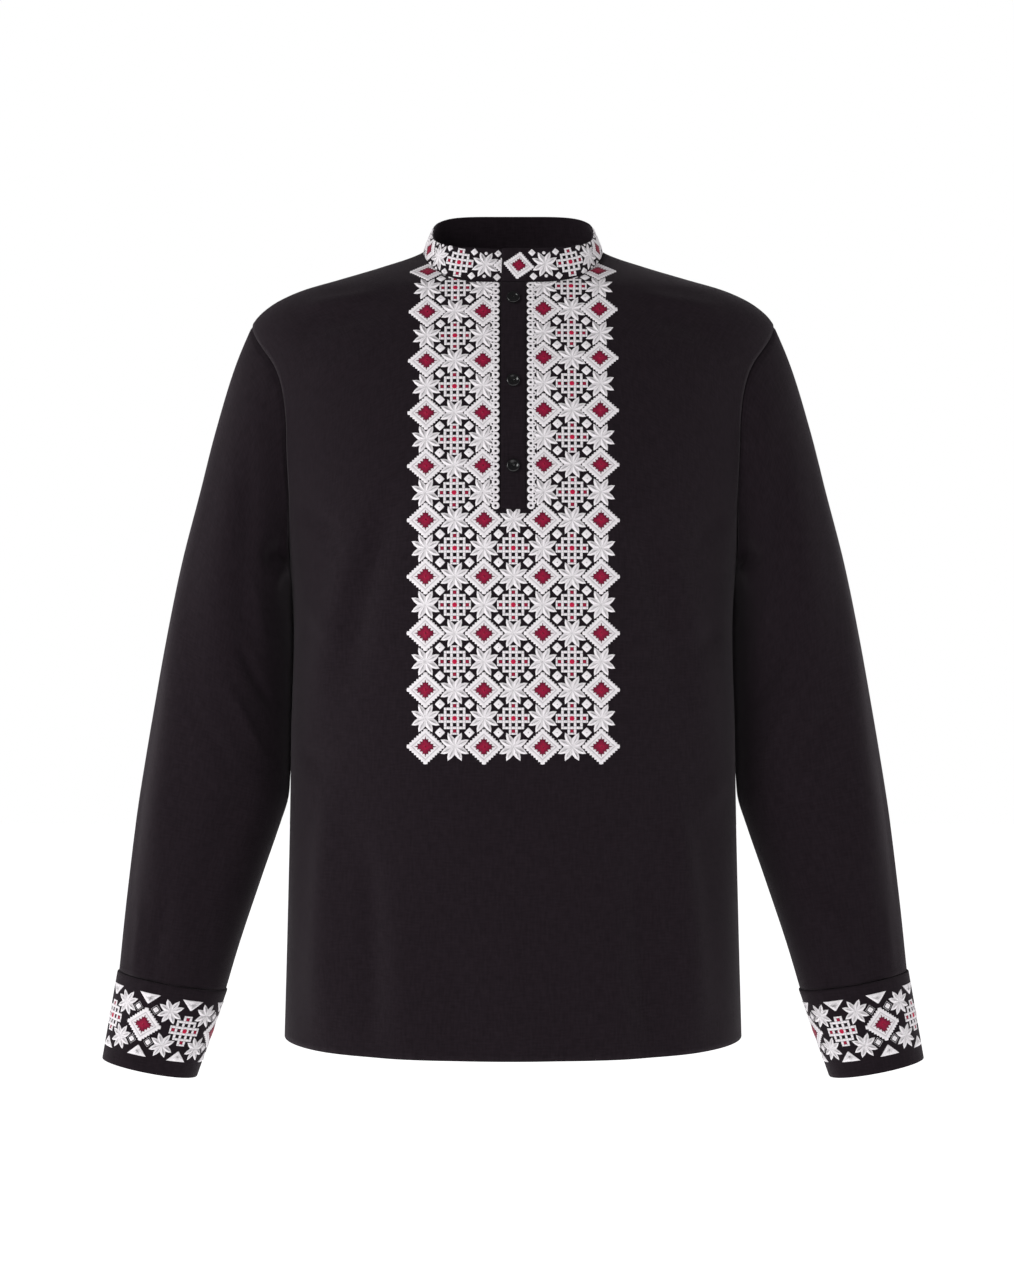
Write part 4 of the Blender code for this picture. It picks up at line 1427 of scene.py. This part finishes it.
def lay_on_grid(skin, out, closed, limit):
    """A laying function for a grid: x is the distance round it from its first column, y the
    distance down from its middle row. Points beyond limit from the middle row or past the
    strip's ends are moved back and reported."""
    rows = skin.shape[0]
    if closed:
        skin = np.concatenate([skin, skin[:, :1]], axis=1)
        out = np.concatenate([out, out[:, :1]], axis=1)
    arc = run_length(skin[rows // 2])
    height = np.linalg.norm(skin[-1] - skin[0], axis=1)

    def lay(flat):
        x, y, h = flat[..., 0], flat[..., 1], flat[..., 2]
        if closed:
            x = np.mod(x, arc[-1])
        off = (np.abs(y) > limit) | (x < END_CLEAR) | (x > arc[-1] - END_CLEAR)
        if not closed:
            x = np.clip(x, END_CLEAR, arc[-1] - END_CLEAR)
        y = np.clip(y, -limit, limit)
        column = np.interp(x, arc, np.arange(len(arc)))
        tall = np.interp(column, np.arange(len(arc)), height)
        row = np.clip((0.5 + y / tall) * (rows - 1), 0, rows - 1)
        c0 = np.minimum(column.astype(int), len(arc) - 2)
        r0 = np.minimum(row.astype(int), rows - 2)
        fc, fr = (column - c0)[..., None], (row - r0)[..., None]

        def mix(grid):
            upper_row = (1 - fc) * grid[r0, c0] + fc * grid[r0, c0 + 1]
            lower_row = (1 - fc) * grid[r0 + 1, c0] + fc * grid[r0 + 1, c0 + 1]
            return (1 - fr) * upper_row + fr * lower_row

        return mix(skin) + unit(mix(out)) * h[..., None], off

    return lay, arc


def triangle(half, tall):
    """A triangle whose point is down the cloth, with enough points on its sides to bend
    round the cuff."""
    corners = np.array([(-half, -tall / 2), (half, -tall / 2), (0.5, tall / 2), (-0.5, tall / 2)])
    share = np.linspace(0.0, 1.0, 6)[:-1, None]
    ends = zip(corners, np.roll(corners, -1, axis=0))
    outline = np.vstack([p + share * (q - p) for p, q in ends])
    return pad(outline, 0.62, 0.25, rim_shade=0.85)


def square_frame(outer, inner):
    """A little square frame that stands on its corner."""
    turn = np.pi / 2 * np.arange(4)
    corner = np.stack([np.cos(turn), np.sin(turn)], axis=-1)
    top, edge = 0.4, 0.4
    # The darker shades at both edges are painted shade where the frame dips to the cloth.
    profile = [
        (outer, -0.2, 0.8),
        (outer - edge, top, 0.95),
        (inner + edge, top, 0.95),
        (inner, -0.2, 0.7),
    ]
    return profile_loft(ring_loft, lambda size: corner * size, profile, along_loop(corner * outer))


COLLAR_SIZE = 0.93
COLLAR_LIMIT = 17.6
FIRST_SIZE = 0.82
dot = pad(round_outline(1.7, 12), 0.55, 0.4, rim_shade=0.8)
lay_collar, collar_arc = lay_on_grid(collar, collar_out, False, COLLAR_LIMIT)
collar_long = collar_arc[-1]
FIRST_DIAMOND = 4.5
FIRST_UNDER_STAR = 24.0
FIRST_TURN = -8.0
SQUARE_OFF = (10.9, 11.0)
SQUARE_SIZE = 0.78
DOT_OFF = 10.6
collar_kinds = [[], [], []]
over_step = (collar_long / 2 - PLACKET_HALF - FIRST_DIAMOND) / 10
under_step = (collar_long / 2 - PLACKET_HALF - FIRST_UNDER_STAR) / 9
for k in range(11):
    kind = (0, 1, 2, 1)[k % 4]
    at = collar_long - PLACKET_HALF - FIRST_DIAMOND - over_step * k
    rest_of_it = (0.8, FIRST_SIZE, FIRST_TURN) if k == 0 else (0.0, COLLAR_SIZE, 0.0)
    collar_kinds[kind].append((at, *rest_of_it))
    if 0 < k < 10:
        at = PLACKET_HALF + FIRST_UNDER_STAR + under_step * (k - 1)
        collar_kinds[kind].append((at, 0.0, COLLAR_SIZE, 0.0))
collar_kinds[0].append((PLACKET_HALF + 1.5, 0.0, COLLAR_SIZE, 0.0))
square_places, dot_places = [], []
for x, y, _, _ in collar_kinds[1]:
    for sx, sy in ((-1, -1), (-1, 1), (1, -1), (1, 1)):
        square_places.append((x + sx * SQUARE_OFF[0], y + sy * SQUARE_OFF[1], SQUARE_SIZE, 0.0))
    dot_places.extend([(x, y - DOT_OFF, 1.0, 0.0), (x, y + DOT_OFF, 1.0, 0.0)])
collar_figures = zip((white_diamond, white_star, white_lattice), collar_kinds)
collar_white = laid(lay_collar, *collar_figures, (small_white, square_places), (dot, dot_places))
collar_crimson = laid(
    lay_collar, (crimson_heart, collar_kinds[0]), (crimson_lattice, collar_kinds[2])
)
print("collar round:", round(collar_long), "mm, steps", round(over_step, 2), round(under_step, 2))

# %% Cuff bands
CUFF_PITCH = 37.2
CUFF_FIRST = 20.5
CUFF_MIDDLE = -2.0
CUFF_SIZE = 0.98
CUFF_LIMIT = 34.0
STAR_SIZE = 0.87
FRAME_OFF = (7.9, 14.6)
FRAME_SIZE = 0.84
STAR_OFF = 15.2
STAR_BESIDE = 20.4
TRIANGLE_OFF = 23.2
lay_cuff, cuff_arc = lay_on_grid(cuff, cuff_out, True, CUFF_LIMIT)
cuff_triangle = triangle(9.4, 9.2)
small_frame = joined([square_frame(5.4, 4.6), pad(small_diamond(3.5), 0.5, 0.3, rim_shade=0.85)])
lattices_at = [CUFF_FIRST + 2 * CUFF_PITCH * k for k in range(3)]
diamonds_at = [at + CUFF_PITCH for at in lattices_at]
stars_at = [at + side * STAR_BESIDE for at in diamonds_at for side in (-1, 1)]
cuff_stars = [(at, CUFF_MIDDLE + sy * STAR_OFF, STAR_SIZE, 0.0) for at in stars_at for sy in (-1, 1)]
cuff_triangles = [
    (at, CUFF_MIDDLE + sy * TRIANGLE_OFF, 1.0, 0.0 if sy < 0 else 180.0)
    for at in lattices_at + diamonds_at
    for sy in (-1, 1)
]
cuff_diamonds = [(at, CUFF_MIDDLE, CUFF_SIZE, 0.0) for at in diamonds_at]
frame_places = [
    (at + sx * FRAME_OFF[0], CUFF_MIDDLE + sy * FRAME_OFF[1], FRAME_SIZE, 0.0)
    for at in diamonds_at
    for sx in (-1, 1)
    for sy in (-1, 1)
]
cuff_lattices = [(at, CUFF_MIDDLE, CUFF_SIZE, 0.0) for at in lattices_at]
cuff_white = laid(
    lay_cuff,
    (white_diamond, cuff_diamonds),
    (white_star, cuff_stars),
    (white_lattice, cuff_lattices),
    (cuff_triangle, cuff_triangles),
    (small_frame, frame_places),
)
cuff_crimson = laid(lay_cuff, (crimson_heart, cuff_diamonds), (crimson_lattice, cuff_lattices))
print("cuff round:", round(cuff_arc[-1]), "mm")


def turned_over(work):
    """The same work with its faces turned over."""
    groups, uvs = ([rows[:, ::-1] for rows in work[kind]] for kind in ("groups", "uvs"))
    return {**work, "groups": groups, "uvs": uvs}


def reflected(work):
    """The same thread work on the wearer's right: x changes sign and faces turn over."""
    return {**turned_over(work), "points": mirrored(work["points"])}


for place, white, crimson in (
    ("collar", collar_white, collar_crimson),
    ("cuff_left", cuff_white, cuff_crimson),
    ("cuff_right", reflected(cuff_white), reflected(cuff_crimson)),
):
    sew(place + "_white_thread", white, white_thread)
    sew(place + "_crimson_thread", crimson, crimson_thread)

# %% [markdown]
# ## Buttons
# The buttons are cast resin, glossy black, 11.6 mm across, with a raised rim round a shallow
# dish. A profile is turned about the button's axis as a surface of revolution, and four small
# pads of black thread stand for the sewing. Each one leans with the placket.

# %% Buttons
BUTTON_RADIUS = 5.8
BUTTON_THICK = 2.6
BUTTON_DROPS = (50.0, 124.5, 199.0)
BUTTON_POINTS = 48
BUTTON_DISH = 0.66
SEWING_RADIUS = 0.95
SEWING_OFF = 1.35
BUTTON_PROFILE = [
    (0.60, 0.00),
    (0.90, 0.10),
    (0.985, 0.32),
    (1.00, 0.55),
    (0.985, 0.74),
    (0.93, 0.90),
    (0.84, 0.985),
    (0.74, 0.97),
    (0.64, 0.86),
    (0.50, 0.74),
    (0.30, 0.68),
    (0.04, 0.66),
]


def turned_button():
    """Rings of the profile, radius by height, closed with a face at both ends."""
    loops = [round_outline(BUTTON_RADIUS * r, BUTTON_POINTS) for r, _ in BUTTON_PROFILE]
    heights = [BUTTON_THICK * h for _, h in BUTTON_PROFILE]
    made = loft(loops, heights, [1.0] * len(loops), along_loop(loops[3]))
    bottom = np.arange(BUTTON_POINTS)[::-1][None, :]
    made["groups"].append(bottom)
    made["uvs"].append(made["points"][bottom][..., :2])
    return made


black_button, tree, shader = new_finish("glossy black resin", roughness=0.18, specular=0.35)
swirl = slubs(tree, node(tree, "ShaderNodeTexCoord").outputs["Object"], (1.0, 1.0, 1.0), 260.0)
button_tone = blend(tree, swirl, (0.0015, 0.0015, 0.0018), (0.004, 0.0035, 0.004))
tree.links.new(button_tone, shader.inputs["Base Color"])


def lay_button(drop):
    """Flat points (x, y down, height) on the placket's plane at a drop."""
    place, out = strip_skin(-1.0, 1.0, drop, drop + 1.0, 2 * SEAM_GAP + 0.2, rows=1, columns=3)
    origin, up = place[0, 1], out[0, 1]
    along = np.array([1.0, 0.0, 0.0])
    down = np.cross(along, up)
    down = down if down[2] < 0 else -down

    def lay(flat):
        x, y, h = flat[..., 0:1], flat[..., 1:2], flat[..., 2:3]
        return origin + x * along + y * down + h * up, np.zeros(flat.shape[:-1], dtype=bool)

    return lay


def facing_out(work):
    """The work with its faces turned over if they point the wrong way: the sum of each
    cell's own direction against the way out from the middle of the points."""
    cells = work["groups"][0]
    p = work["points"]
    cross = np.cross(p[cells[:, 1]] - p[cells[:, 0]], p[cells[:, 3]] - p[cells[:, 0]])
    middle = p.mean(axis=0)
    return turned_over(work) if np.sum(cross * (p[cells[:, 0]] - middle)) < 0 else work


button = turned_button()
stitches = []
for sx, sy in ((-1, -1), (-1, 1), (1, -1), (1, 1)):
    outline = round_outline(SEWING_RADIUS, 10) + np.array([sx, sy]) * SEWING_OFF
    stitches.append(pad(outline, 0.35, 0.3))
sewing = joined(stitches)
sewing["points"][:, 2] += BUTTON_DISH * BUTTON_THICK + 0.05
black_thread = thread("black sewing thread", (0.002,) * 3, (0.005,) * 3, 0.6, 0.1)
for number, drop in enumerate(BUTTON_DROPS, start=1):
    lay = lay_button(drop)
    for part_name, shape, finish in (("turned", button, black_button), ("sewing", sewing, black_thread)):
        work = facing_out(copies(shape, [(0.0, 0.0, 1.0, 0.0)], lay))
        sew(f"button_{number}_{part_name}", work, finish)

# %% [markdown]
# ## The pieces on the body
# Nothing on the shirt moves on its own, so every piece rides on the one body. Each cloth piece
# stands for its plain solid, which is hidden, as are the plain buttons. The table below lists
# each cut's flat size, its area and the thread work on it, but only its name is used here.

# %% Ride and replace
CUTS = {
    "front": ((0.560, 0.735), 0.357, ["plastron_white_thread", "plastron_crimson_thread"]),
    "back": ((0.560, 0.735), 0.364, []),
    "sleeve_left": ((0.470, 0.620), 0.186, []),
    "sleeve_right": ((0.470, 0.620), 0.186, []),
    "cuff_left": ((0.278, 0.081), 0.0222, ["cuff_left_white_thread", "cuff_left_crimson_thread"]),
    "cuff_right": ((0.278, 0.081), 0.0222, ["cuff_right_white_thread", "cuff_right_crimson_thread"]),
    "collar": ((0.490, 0.030), 0.0137, ["collar_white_thread", "collar_crimson_thread"]),
    "placket_upper": ((0.022, 0.215), None, []),
    "placket_under": ((0.024, 0.230), None, []),
}
for piece in PIECES.values():
    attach(piece, "root")
for node_name, (flat, area, work_names) in CUTS.items():
    piece = PIECES[node_name + "_cloth"]
    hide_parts(node_name)
for number in (1, 2, 3):
    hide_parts(f"button_{number}")
print(len(PIECES), "pieces ride on the body")
